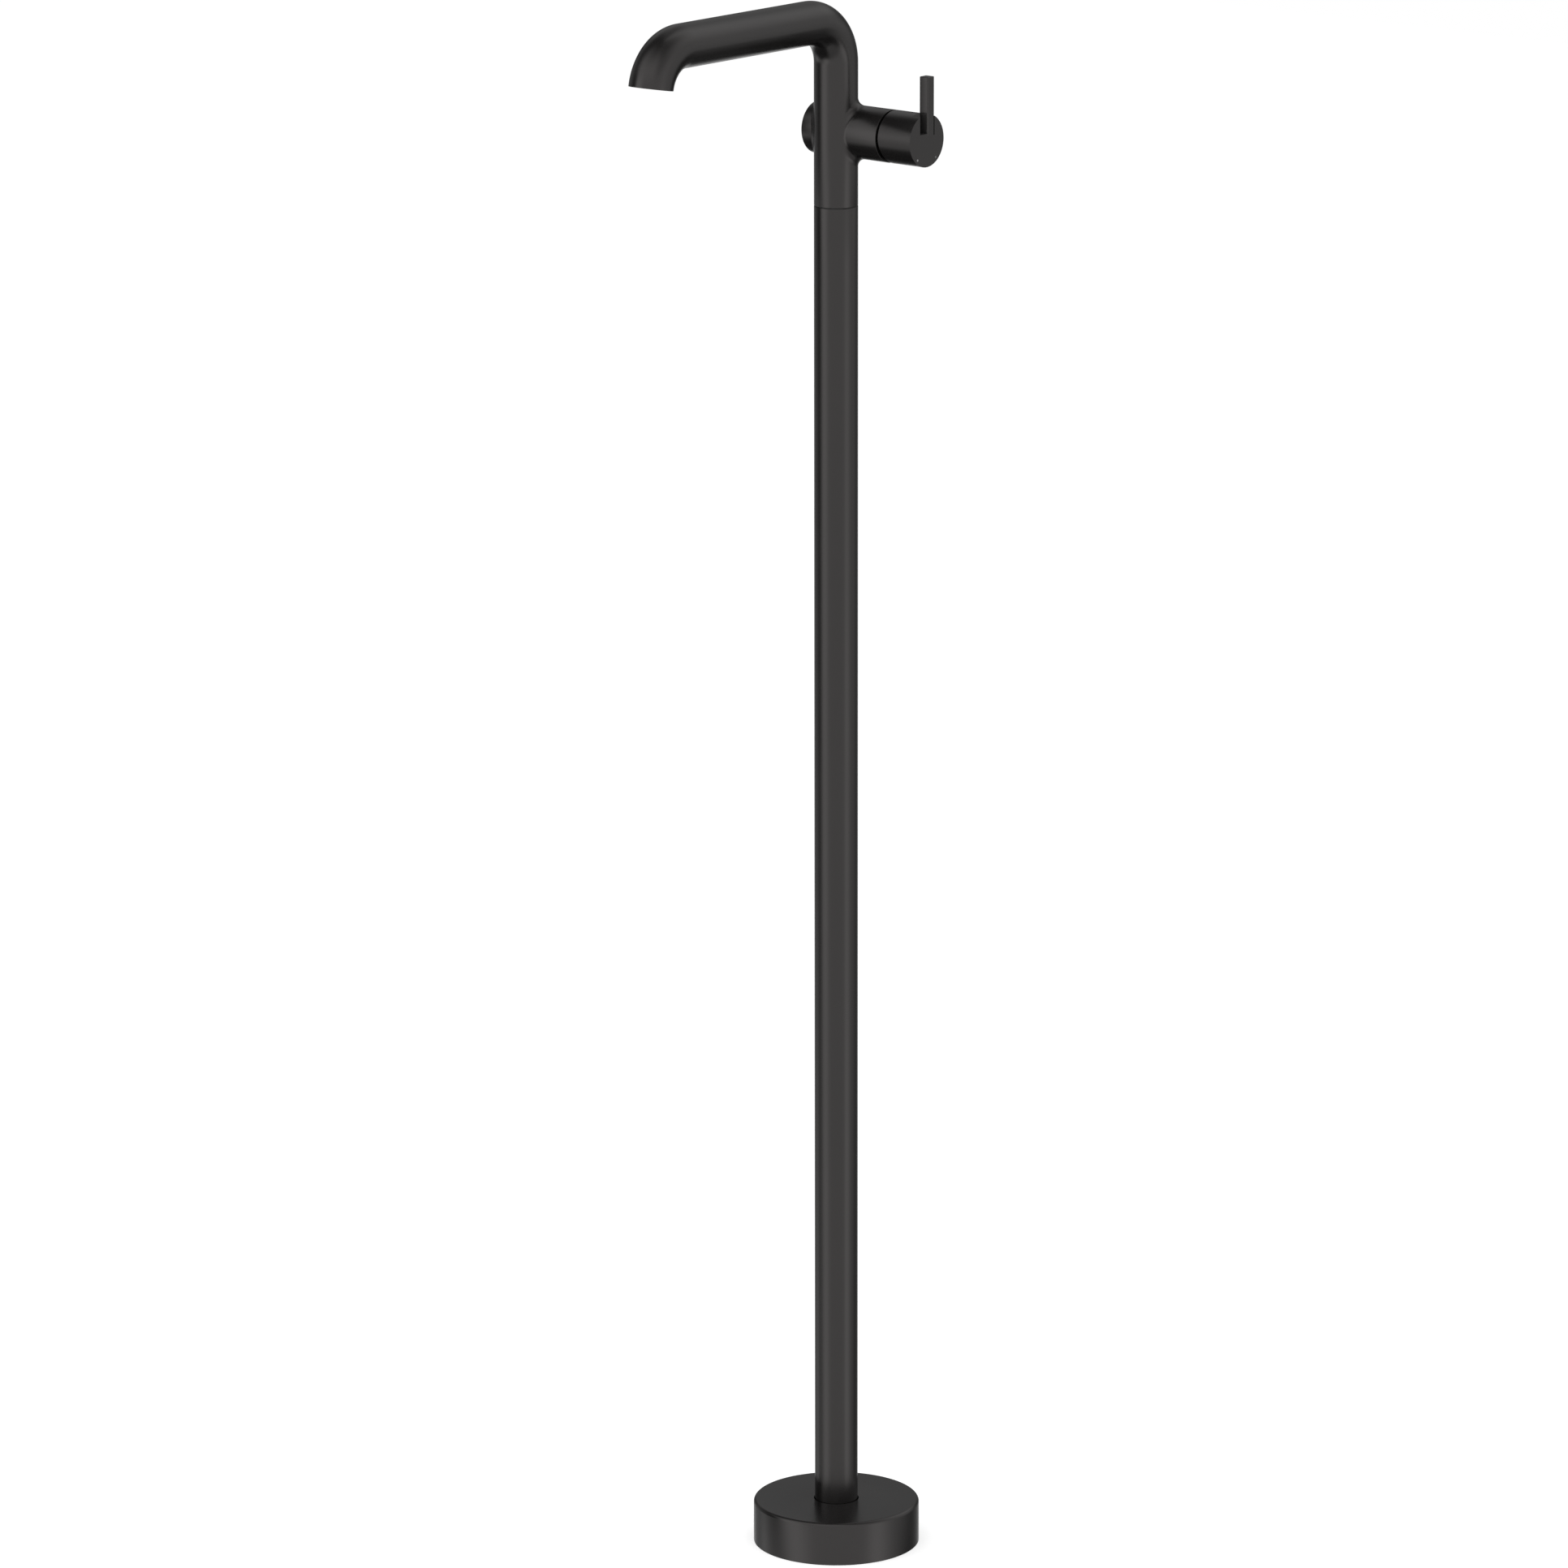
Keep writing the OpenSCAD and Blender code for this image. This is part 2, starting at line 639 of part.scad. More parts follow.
module handle() {
    clear = 0.05;
    bevel = -atan(rim_bevel / barrel_r);
    color([0.16, 0.16, 0.165])
    difference() {
        union() {
            difference() {
                on_barrel(handle_x) rotate_extrude() polygon([[0, 0], [barrel_r, 0],
                    [barrel_r, handle_l - face_edge], [barrel_r - face_edge, handle_l], [0, handle_l]]);
                on_barrel(handle_x - 1) cylinder(r = barrel_r - handle_wall, h = web_x - handle_x + 1);
            }
            on_barrel(hub_x) cylinder(r = hub_r, h = web_x - hub_x + 1);
        }
        // Bevelled lower rim
        translate([handle_x, barrel_y, barrel_z]) rotate([0, bevel, 0])
            translate([-20, -barrel_r - 1, -2 * barrel_r]) cube([20, 2 * barrel_r + 2, 2 * barrel_r]);
        // Square socket for the stem
        translate([hub_x - 1, barrel_y - stem_w / 2 - clear, barrel_z - stem_w / 2 - clear])
            cube([socket_end - hub_x + 1, stem_w + 2 * clear, stem_w + 2 * clear]);
        // Set screw and its key hole
        translate([set_x, barrel_y, barrel_z - 2 * barrel_r]) cylinder(r = set_r + fit, h = 2 * barrel_r);
        // Lever slot, open to the top and to the end face, with a sloping floor beside the lever
        translate([face_x - lever_w - clear, barrel_y + lever_off - clear, barrel_z + slot_floor])
            cube([lever_w + 2, lever_w + 2 * clear, barrel_r]);
        translate([face_x, barrel_y + lever_off, barrel_z + slot_floor]) linear_extrude(barrel_r)
            polygon([[2, -slot_free], [0, -slot_free], [-slot_deep, 0], [-slot_deep, 1], [2, 1]]);
        // Lever screw and its head
        translate([lever_x, lever_y, barrel_z - 2 * barrel_r]) cylinder(r = screw_r + 0.15, h = 3 * barrel_r);
        translate([lever_x, lever_y, barrel_z - 2 * barrel_r])
            cylinder(r = screw_head_r + 0.15, h = screw_head_z - barrel_z + 2 * barrel_r);
        // Seats of the marker dots
        for (s = [-1, 1]) on_barrel(face_x - 1) rotate([0, 0, s * mark_turn])
            translate([mark_ring, 0, 0]) cylinder(r = mark_r + fit, h = 3);
    }
}

module handle_set_screw() {
    low = barrel_z - hub_r + 0.3;
    high = barrel_z - stem_w / 2;
    color([0.35, 0.35, 0.36])
    translate([set_x, barrel_y, 0]) difference() {
        translate([0, 0, low]) cylinder(r = set_r, h = high - low);
        translate([0, 0, low - 1]) cylinder(r = 1.15, h = 3, $fn = 6);
    }
}

module lever() {
    low = slot_floor;
    h = lever_top - low;
    r = lever_round;
    w = lever_w;
    e = 0.5;
    color([0.16, 0.16, 0.165])
    translate([lever_x, lever_y, barrel_z + low]) difference() {
        intersection() {
            linear_extrude(h) union() {
                square([w, w - 2 * r], center = true);
                square([w - 2 * r, w], center = true);
                for (x = [-1, 1], y = [-1, 1]) translate([x * (w / 2 - r), y * (w / 2 - r)]) circle(r = r, $fn = 32);
            }
            rotate([90, 0, 0]) linear_extrude(2 * w, center = true)
                polygon([[-w / 2, 0], [w / 2, 0], [w / 2, h - e], [w / 2 - e, h], [e - w / 2, h], [-w / 2, h - e]]);
            rotate([90, 0, 90]) linear_extrude(2 * w, center = true)
                polygon([[-w / 2, 0], [w / 2, 0], [w / 2, h - e], [w / 2 - e, h], [e - w / 2, h], [-w / 2, h - e]]);
        }
        translate([0, 0, -1]) cylinder(r = screw_r + 0.02, h = 11);
    }
}

module lever_screw() {
    color([0.35, 0.35, 0.36])
    translate([lever_x, lever_y, 0]) difference() {
        union() {
            translate([0, 0, screw_head_z - 3]) cylinder(r = screw_head_r, h = 3);
            translate([0, 0, screw_head_z - 1]) cylinder(r = screw_r, h = barrel_z + slot_floor + 8 - screw_head_z + 1);
        }
        translate([0, 0, screw_head_z - 4]) cylinder(r = 1.4, h = 2.6, $fn = 6);
    }
}

module mark(side) {
    on_barrel(face_x - 1) rotate([0, 0, side * mark_turn]) translate([mark_ring, 0, 0])
        cylinder(r = mark_r, h = 1.05);
}

module hot_mark() { color([0.6, 0.6, 0.6]) mark(-1); }

module cold_mark() { color([0.35, 0.35, 0.35]) mark(1); }

floor_plate();
column_socket();
socket_screws();
column_set_screws();
base_cover();
cover_ring();
column_tube();
hot_inlet();
cold_inlet();
hot_hose();
cold_hose();
head_spigot();
spigot_screw();
upper_body();
back_cap();
back_cap_seal();
outlet_pipe();
outlet_adapter();
aerator_seal();
aerator_housing();
aerator_insert();
cartridge_housing();
port_seals();
fixed_disc();
moving_disc();
disc_carrier();
rotor();
pivot_pin();
stem();
retaining_nut();
handle();
handle_set_screw();
lever();
lever_screw();
hot_mark();
cold_mark();
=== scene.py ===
import bmesh
import bpy
import math
from mathutils import Matrix, Vector


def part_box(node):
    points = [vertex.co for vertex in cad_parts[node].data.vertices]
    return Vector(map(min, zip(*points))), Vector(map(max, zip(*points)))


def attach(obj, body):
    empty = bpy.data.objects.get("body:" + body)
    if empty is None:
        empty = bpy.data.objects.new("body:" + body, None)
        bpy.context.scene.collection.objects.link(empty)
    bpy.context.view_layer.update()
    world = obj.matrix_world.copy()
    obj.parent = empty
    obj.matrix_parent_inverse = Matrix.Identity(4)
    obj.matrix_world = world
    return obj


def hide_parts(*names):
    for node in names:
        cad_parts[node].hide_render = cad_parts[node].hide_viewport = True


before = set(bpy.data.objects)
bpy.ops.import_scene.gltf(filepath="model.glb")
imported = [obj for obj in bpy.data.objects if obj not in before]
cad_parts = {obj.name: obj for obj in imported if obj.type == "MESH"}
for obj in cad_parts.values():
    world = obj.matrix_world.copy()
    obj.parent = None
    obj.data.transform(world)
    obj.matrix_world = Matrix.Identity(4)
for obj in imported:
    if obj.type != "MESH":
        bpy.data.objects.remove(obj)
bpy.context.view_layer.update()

bl_info = {
    "name": "Floor Mixer Tap",
    "version": (1, 0, 0),
    "blender": (4, 5, 0),
    "location": "View3D > Sidebar > Tap",
    "description": "Dresses a packed floor-standing mixer tap and sets up its studio",
    "category": "Object",
}

MM = 0.001
SAME = 0.0005 * MM  # points closer than this are one
FIT = 0.05 * MM  # play between a seat and the piece in it
TUBE_WALL = 2 * MM  # wall of the column and of the stem's foot
COVER_LO, COVER_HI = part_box("base_cover")
TUBE_LO, TUBE_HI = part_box("column_tube")
HEAD_LO, HEAD_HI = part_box("upper_body")
CAP_LO, CAP_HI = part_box("back_cap")
HANDLE_LO, HANDLE_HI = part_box("handle")
LEVER_LO, LEVER_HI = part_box("lever")
NUT_LO, NUT_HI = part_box("retaining_nut")
BARREL_Y = (HANDLE_LO.y + HANDLE_HI.y) / 2
BARREL_Z = (HANDLE_LO.z + HANDLE_HI.z) / 2


# ---------------------------------------------------------------- properties

class TapSizes(bpy.types.PropertyGroup):
    column_radius: bpy.props.FloatProperty(
        name="Column Radius", description="Outside radius of the column, the stem and the spout",
        default=(TUBE_HI.x - TUBE_LO.x) / 2, unit="LENGTH", subtype="DISTANCE")
    cover_radius: bpy.props.FloatProperty(
        name="Cover Radius", description="Outside radius of the base cover",
        default=(COVER_HI.x - COVER_LO.x) / 2, unit="LENGTH", subtype="DISTANCE")
    cover_round: bpy.props.FloatProperty(
        name="Cover Rounding", description="Rounding of the cover's top edge",
        default=2.5 * MM, unit="LENGTH", subtype="DISTANCE")
    cover_gap: bpy.props.FloatProperty(
        name="Cover Gap", description="Gap between the column and the hole in the cover",
        default=0.6 * MM, unit="LENGTH", subtype="DISTANCE")
    barrel_radius: bpy.props.FloatProperty(
        name="Barrel Radius", description="Outside radius of the cross barrel and the handle",
        default=(HANDLE_HI.y - HANDLE_LO.y) / 2, unit="LENGTH", subtype="DISTANCE")
    fillet_radius: bpy.props.FloatProperty(
        name="Fillet Radius", description="Radius of the cast fillet where barrel and stem meet",
        default=5.5 * MM, unit="LENGTH", subtype="DISTANCE")
    bend_radius: bpy.props.FloatProperty(
        name="Bend Radius", description="Centre line radius of both bends of the spout",
        default=30 * MM, unit="LENGTH", subtype="DISTANCE")
    outlet_turn: bpy.props.FloatProperty(
        name="Outlet Turn", description="Angle that the outlet bend turns through",
        default=math.radians(80), unit="ROTATION", subtype="ANGLE")
    spout_reach: bpy.props.FloatProperty(
        name="Spout Reach",
        description="Distance from the column's axis to the middle of the outlet",
        default=189.4 * MM, unit="LENGTH", subtype="DISTANCE")
    spout_wall: bpy.props.FloatProperty(
        name="Spout Wall", description="Wall of the spout at its mouth",
        default=3 * MM, unit="LENGTH", subtype="DISTANCE")
    edge: bpy.props.FloatProperty(
        name="Edge Rounding", description="Rounding of the coated metal's machined edges",
        default=0.25 * MM, unit="LENGTH", subtype="DISTANCE")
    slot_free: bpy.props.FloatProperty(
        name="Free Slot Width", description="Free width of the slot beside the lever",
        default=7.8 * MM, unit="LENGTH", subtype="DISTANCE")
    slot_deep: bpy.props.FloatProperty(
        name="Free Slot Depth", description="Depth of the slot's sloping floor at the lever",
        default=6.8 * MM, unit="LENGTH", subtype="DISTANCE")
    slot_rise: bpy.props.FloatProperty(
        name="Free Slot Rise", description="Height of the free slot's floor above the lever's foot",
        default=1.5 * MM, unit="LENGTH", subtype="DISTANCE")
    rim_inset: bpy.props.FloatProperty(
        name="Rim Inset", description="How far the broken edge sets the handle's rim back",
        default=0.5 * MM, unit="LENGTH", subtype="DISTANCE")
    rim_bevel: bpy.props.FloatProperty(
        name="Rim Bevel", description="Extra gap at the lowest point of the handle's rim",
        default=2.2 * MM, unit="LENGTH", subtype="DISTANCE")


class TapColours(bpy.types.PropertyGroup):
    coat: bpy.props.FloatVectorProperty(
        name="Coat", description="Colour of the matte powder coat",
        default=(0.0042, 0.0039, 0.0038), size=3, min=0, max=1, subtype="COLOR")
    coat_light: bpy.props.FloatVectorProperty(
        name="Light Grain", description="Colour of the lighter grains in the powder coat",
        default=(0.0070, 0.0065, 0.0064), size=3, min=0, max=1, subtype="COLOR")
    coat_sheen: bpy.props.FloatVectorProperty(
        name="Coat Sheen", description="Tint of the light that the powder coat mirrors",
        default=(1.0, 0.955, 0.945), size=3, min=0, max=1, subtype="COLOR")
    coat_rough: bpy.props.FloatProperty(
        name="Coat Roughness", description="Mean roughness of the powder coat",
        default=0.25, min=0, max=1, subtype="FACTOR")
    # Painted light: a colour much lighter than the coat, painted into the shade of the handle's
    # slot and the lever's foot
    slot_painted_light: bpy.props.FloatVectorProperty(
        name="Slot Painted Light", description="Colour of the painted light in the slot and on the lever's foot",
        default=(0.019, 0.0183, 0.0183), size=3, min=0, max=1, subtype="COLOR")
    warm_mark: bpy.props.FloatVectorProperty(
        name="First Mark", description="Colour of the lighter marker dot",
        default=(0.25, 0.25, 0.25), size=3, min=0, max=1, subtype="COLOR")
    cool_mark: bpy.props.FloatVectorProperty(
        name="Second Mark", description="Colour of the fainter marker dot",
        default=(0.11, 0.11, 0.11), size=3, min=0, max=1, subtype="COLOR")


class TapStage(bpy.types.PropertyGroup):
    lens: bpy.props.FloatProperty(
        name="Lens", description="Focal length of the camera in millimetres",
        default=192.455, min=20, max=400)
    distance: bpy.props.FloatProperty(
        name="Camera Distance", description="Level distance of the camera from the column",
        default=5.6, unit="LENGTH", subtype="DISTANCE")
    height: bpy.props.FloatProperty(
        name="Camera Height", description="Height of the camera above the floor",
        default=1.91714, unit="LENGTH", subtype="DISTANCE")
    azimuth: bpy.props.FloatProperty(
        name="Camera Azimuth",
        description="Turn of the camera from the spout's side towards the handle's side",
        default=math.radians(39.923), unit="ROTATION", subtype="ANGLE")
    tilt: bpy.props.FloatProperty(
        name="Camera Tilt", description="Angle that the camera looks down by",
        default=math.radians(13.755), unit="ROTATION", subtype="ANGLE")
    yaw: bpy.props.FloatProperty(
        name="Camera Yaw", description="Turn of the view to the left of the column",
        default=math.radians(0.367), unit="ROTATION", subtype="ANGLE")
    roll: bpy.props.FloatProperty(
        name="Camera Roll", description="Turn of the camera about its own line of sight",
        default=math.radians(0.1), unit="ROTATION", subtype="ANGLE")
    lamp: bpy.props.FloatProperty(
        name="Lamp Strength", description="Factor on all studio lamps",
        default=1.0, min=0, max=4)
    sky: bpy.props.FloatProperty(
        name="Sky Strength", description="Plain light that comes from all sides",
        default=0.6, min=0, max=4)
    floor_glow: bpy.props.FloatProperty(
        name="Floor Glow",
        description="White that the camera sees in the floor besides its lit tone",
        default=0.5, min=0, max=1)


# ------------------------------------------------------------------- shaders

class Number:
    """A number socket to reckon with; each operation adds its Math node."""

    def __init__(self, finish, socket):
        self.finish, self.socket = finish, socket

    def apply(self, operation, *values):
        return Number(self.finish, self.finish.add(
            "ShaderNodeMath", {"operation": operation}, dict(enumerate(values))).outputs[0])

    def __add__(self, other): return self.apply("ADD", self, other)
    def __radd__(self, other): return self.apply("ADD", other, self)
    def __sub__(self, other): return self.apply("SUBTRACT", self, other)
    def __rsub__(self, other): return self.apply("SUBTRACT", other, self)
    def __mul__(self, other): return self.apply("MULTIPLY", self, other)
    def __rmul__(self, other): return self.apply("MULTIPLY", other, self)


class Finish:
    """A node material under construction."""

    def __init__(self, name):
        self.material = bpy.data.materials.new(name)
        self.begin(self.material, "ShaderNodeOutputMaterial")

    @classmethod
    def world(cls, name):
        """The same for a world, which becomes the scene's."""
        made = cls.__new__(cls)
        bpy.context.scene.world = bpy.data.worlds.new(name)
        made.begin(bpy.context.scene.world, "ShaderNodeOutputWorld")
        return made

    def begin(self, owner, output):
        owner.use_nodes = True
        self.tree = owner.node_tree
        self.tree.nodes.clear()
        self.output = self.tree.nodes.new(output)

    def add(self, kind, settings=None, inputs=None):
        """A new node; an input is linked if its value is a socket, and set if it isn't."""
        node = self.tree.nodes.new(kind)
        for key, value in (settings or {}).items():
            setattr(node, key, value)
        for key, value in (inputs or {}).items():
            if isinstance(value, Number):
                value = value.socket
            if isinstance(value, bpy.types.NodeSocket):
                self.tree.links.new(value, node.inputs[key])
            else:
                node.inputs[key].default_value = value
        return node

    def number(self, node, name=0):
        return Number(self, node.outputs[name])

    def place(self):
        """The point in the piece's own frame, so that finishes move with it."""
        return self.add("ShaderNodeTexCoord").outputs["Object"]

    def noise(self, where, size, detail=2.0, rough=0.5):
        """Soft noise from 0 to 1 whose cells are about `size` metres across."""
        return self.number(self.add(
            "ShaderNodeTexNoise", {"noise_dimensions": "3D"},
            {"Vector": where, "Scale": 1 / size, "Detail": detail, "Roughness": rough}), "Fac")

    def ramp(self, value, low, high, kind="LINEAR"):
        """Stretches a number so that low becomes 0 and high becomes 1."""
        return self.number(self.add(
            "ShaderNodeMapRange", {"clamp": True, "interpolation_type": kind},
            {"Value": value, "From Min": low, "From Max": high, "To Min": 0.0, "To Max": 1.0}))

    def blend(self, share, first, second):
        return self.add("ShaderNodeMix", {"data_type": "RGBA"},
                        {0: share, 6: first, 7: second}).outputs[2]

    def bump(self, height, depth, strength):
        return self.add("ShaderNodeBump", None,
                        {"Height": height, "Distance": depth, "Strength": strength}).outputs[0]

    def surface(self, **sockets):
        """Closes the material with a principled shader; an underscore stands for a space."""
        shader = self.add("ShaderNodeBsdfPrincipled", None,
                          {key.replace("_", " "): value for key, value in sockets.items()})
        self.tree.links.new(shader.outputs[0], self.output.inputs["Surface"])
        return self.material


def rgba(colour):
    return (*colour[:3], 1.0)


def powder_coat(name="Powder Coat", slot=None):
    """Matte black powder coat: orange peel, a slightly lighter grain and patches of softer sheen.

    slot gives the low and high corner of a recess, whose shade gets a lighter colour as painted
    light and a rougher coat."""
    if name in bpy.data.materials:
        return bpy.data.materials[name]
    tones = bpy.context.scene.tap_colours
    f = Finish(name)
    where = f.place()
    grain = f.noise(where, 0.35 * MM, 3.0, 0.6)
    peel = f.noise(where, 1.1 * MM)
    patch = f.noise(where, 45 * MM)
    share = f.ramp(grain * 0.7 + patch * 0.3, 0.35, 0.65)
    colour = f.blend(share, rgba(tones.coat), rgba(tones.coat_light))
    rough = tones.coat_rough - 0.04 + 0.05 * grain + 0.05 * patch
    # Painted light: inside the slot's box the coat turns to the lighter slot colour, which lifts
    # the recess's shade, and grows rougher
    if slot:
        parts = f.add("ShaderNodeSeparateXYZ", None, {0: where})
        blur = 0.1 * MM
        slot_light_mask = 1.0
        for i, (low, high) in enumerate(zip(*slot)):
            at = f.number(parts, i)
            slot_light_mask = f.ramp(at - low, 0, blur) * f.ramp(high - at, 0, blur) * slot_light_mask
        colour = f.blend(slot_light_mask, colour, rgba(tones.slot_painted_light))
        rough = rough + 0.3 * slot_light_mask
    normal = f.bump(peel * 0.7 + grain * 0.3, 0.012 * MM, 0.6)
    return f.surface(Base_Color=colour, Roughness=rough, Normal=normal, Specular_IOR_Level=0.5,
                     Specular_Tint=rgba(tones.coat_sheen))


def speckled(name, first, second, rough, cell, metallic=0.0, depth=0.01):
    """A finish of two close tones in soft patches, with a bump of the same grain.

    cell is the size of a grain and depth that of its bump, both in millimetres."""
    if name in bpy.data.materials:
        return bpy.data.materials[name]
    f = Finish(name)
    where = f.place()
    grain = f.noise(where, cell * MM, 3.0, 0.55)
    cloud = f.noise(where, cell * 14 * MM)
    colour = f.blend(f.ramp(grain * 0.6 + cloud * 0.4, 0.3, 0.7), rgba(first), rgba(second))
    return f.surface(Base_Color=colour, Roughness=rough - 0.04 + 0.08 * cloud,
                     Normal=f.bump(grain, depth * MM, 0.5), Metallic=metallic)


def turned(name, first, second, rough, axis):
    """Turned metal: fine rings across the turning axis, given by its number, over a cloudy tone."""
    if name in bpy.data.materials:
        return bpy.data.materials[name]
    f = Finish(name)
    where = f.place()
    coarse, fine = 90.0, 4200.0
    scale = [coarse, coarse, coarse]
    scale[axis] = fine
    squeezed = f.add("ShaderNodeVectorMath", {"operation": "MULTIPLY"}, {0: where, 1: scale})
    rings = f.number(f.add("ShaderNodeTexNoise", {"noise_dimensions": "3D"}, {
        "Vector": squeezed.outputs[0], "Scale": 1.0, "Detail": 2.0}), "Fac")
    cloud = f.noise(where, 12 * MM)
    colour = f.blend(f.ramp(rings * 0.5 + cloud * 0.5, 0.3, 0.7), rgba(first), rgba(second))
    return f.surface(Base_Color=colour, Roughness=rough + 0.12 * (rings - 0.5), Metallic=1.0,
                     Normal=f.bump(rings, 0.006 * MM, 0.5))


# -------------------------------------------------------------------- meshes

def put(name, data):
    """A new object in the scene."""
    made = bpy.data.objects.new(name, data)
    bpy.context.scene.collection.objects.link(made)
    return made


class Skin:
    """Collects grids of points, in metres, into one mesh."""

    def __init__(self):
        self.bm = bmesh.new()

    def grid(self, rows, loop=False):
        """Faces between rows of points; a row of one point is a tip."""
        made = [[self.bm.verts.new(p) for p in row] for row in rows]
        for a, b in zip(made, made[1:]):
            n = max(len(a), len(b))
            for i in range(n if loop else n - 1):
                j = (i + 1) % n
                corners = [a[min(i, len(a) - 1)], a[min(j, len(a) - 1)],
                           b[min(j, len(b) - 1)], b[min(i, len(b) - 1)]]
                face = list(dict.fromkeys(corners))
                if len(face) > 2:
                    self.bm.faces.new(face)

    def finish(self, name, sharp=28.0):
        """The grids joined to one piece, smooth but for edges of more than `sharp` degrees."""
        bmesh.ops.remove_doubles(self.bm, verts=self.bm.verts, dist=SAME)
        bmesh.ops.dissolve_degenerate(self.bm, dist=SAME / 5, edges=self.bm.edges)
        bmesh.ops.recalc_face_normals(self.bm, faces=self.bm.faces)
        mesh = bpy.data.meshes.new(name)
        self.bm.to_mesh(mesh)
        self.bm.free()
        mesh.polygons.foreach_set("use_smooth", [True] * len(mesh.polygons))
        mesh.set_sharp_from_angle(angle=math.radians(sharp))
        return put(name, mesh)


def arc(cx, cy, r, start, end, steps):
    """Points of an arc in a profile's plane, angles in degrees."""
    return [(cx + r * math.cos(math.radians(start + (end - start) * i / steps)),
             cy + r * math.sin(math.radians(start + (end - start) * i / steps)))
            for i in range(steps + 1)]


def turn_profile(name, profile, origin, axis, steps=160, closed=True):
    """A turned piece: profile points (radius, station) spun about an axis."""
    u = Vector(axis).normalized()
    v = u.orthogonal().normalized()
    w = u.cross(v)
    skin = Skin()
    profile = profile + profile[:1] if closed else profile
    rows = []
    for r, t in profile:
        base = Vector(origin) + u * t
        if r < 1e-9:
            rows.append([base])
        else:
            rows.append([base + (v * math.cos(a) + w * math.sin(a)) * r
                         for a in (2 * math.pi * i / steps for i in range(steps))])
    skin.grid(rows, loop=True)
    return skin.finish(name)


def prism(name, corners, low, high):
    """A plain upright cutter over corners (x, y), which is thrown away after its cut."""
    bm = bmesh.new()
    rows = [[bm.verts.new((x, y, z)) for x, y in corners] for z in (low, high)]
    for i in range(len(corners)):
        bm.faces.new((rows[0][i - 1], rows[0][i], rows[1][i], rows[1][i - 1]))
    for row in rows:
        bm.faces.new(row)
    bmesh.ops.recalc_face_normals(bm, faces=bm.faces)
    mesh = bpy.data.meshes.new(name)
    bm.to_mesh(mesh)
    bm.free()
    return put(name, mesh)


def carve(target, cutters, edge):
    """Cuts the cutters out of target, rounds its edges, if edge isn't 0, and applies both."""
    for cutter in cutters:
        cut = target.modifiers.new("Cut", "BOOLEAN")
        cut.operation, cut.solver, cut.object = "DIFFERENCE", "EXACT", cutter
    if edge:
        rounding = target.modifiers.new("Edges", "BEVEL")
        rounding.width, rounding.segments = edge, 3
        rounding.limit_method, rounding.angle_limit = "ANGLE", math.radians(32)
        rounding.use_clamp_overlap = True
        rounding.harden_normals = True
    bpy.context.view_layer.update()
    finished = target.evaluated_get(bpy.context.evaluated_depsgraph_get())
    shape = bpy.data.meshes.new_from_object(finished)
    target.modifiers.clear()
    old, target.data = target.data, shape
    bpy.data.meshes.remove(old)
    for cutter in cutters:
        mesh = cutter.data
        bpy.data.objects.remove(cutter)
        bpy.data.meshes.remove(mesh)
    if not shape.polygons:
        raise RuntimeError(f"{target.name} lost its faces in a cut")


def weld(mesh, sharp):
    """Joins the doubled points that a cut leaves along a seam and marks the sharp edges again."""
    bm = bmesh.new()
    bm.from_mesh(mesh)
    bmesh.ops.remove_doubles(bm, verts=bm.verts, dist=SAME)
    bm.to_mesh(mesh)
    bm.free()
    mesh.set_sharp_from_angle(angle=math.radians(sharp))


def dress(made, material, body, node):
    """Gives a coated piece its finish, its body and the CAD node that it stands for."""
    made.data.materials.clear()
    made.data.materials.append(material)
    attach(made, body)
    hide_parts(node)


def paint(node, material):
    """Gives a CAD node a new finish in its own material slots."""
    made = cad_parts[node]
    if not made.material_slots:
        made.data.materials.append(material)
    for entry in made.material_slots:
        entry.material = material


# ----------------------------------------------------------------- operators

class TAP_OT_base(bpy.types.Operator):
    """Makes the round base cover, with its rounded edge and the slim gap round the column"""
    bl_idname = "tap.base"
    bl_label = "Base Cover"

    def execute(self, context):
        s = context.scene.tap_sizes
        r, top, e = s.cover_radius, COVER_HI.z, s.cover_round
        hole = s.column_radius + s.cover_gap
        wall, lip, chamfer = 2.5 * MM, 0.25 * MM, 0.3 * MM
        profile = [(r - chamfer, 0.0), (r, chamfer)]
        profile += arc(r - e, top - e, e, 0, 90, 10)
        profile += arc(hole + lip, top - lip, lip, 90, 180, 4)
        profile += [(hole, top - wall), (r - wall, top - wall), (r - wall, 0.0)]
        made = turn_profile("Base_Cover", profile, (0, 0, 0), (0, 0, 1), 224)
        dress(made, powder_coat(), "base", "base_cover")
        return {"FINISHED"}


class TAP_OT_column(bpy.types.Operator):
    """Makes the column tube, with its softly broken top edge under the seam"""
    bl_idname = "tap.column"
    bl_label = "Column"

    def execute(self, context):
        s = context.scene.tap_sizes
        r, low, high, e = s.column_radius, TUBE_LO.z, TUBE_HI.z, 0.2 * MM
        inner, steps = r - TUBE_WALL, 24
        profile = [(r, low + (high - e - low) * i / steps) for i in range(steps)]
        profile += arc(r - e, high - e, e, 0, 90, 4)
        profile += [(inner, high), (inner, low)]
        made = turn_profile("Column", profile, (0, 0, 0), (0, 0, 1))
        dress(made, powder_coat(), "base", "column_tube")
        seam = speckled("Seam Black", (0.012, 0.012, 0.012), (0.018, 0.018, 0.018), 0.6, 0.6)
        paint("head_spigot", seam)
        return {"FINISHED"}


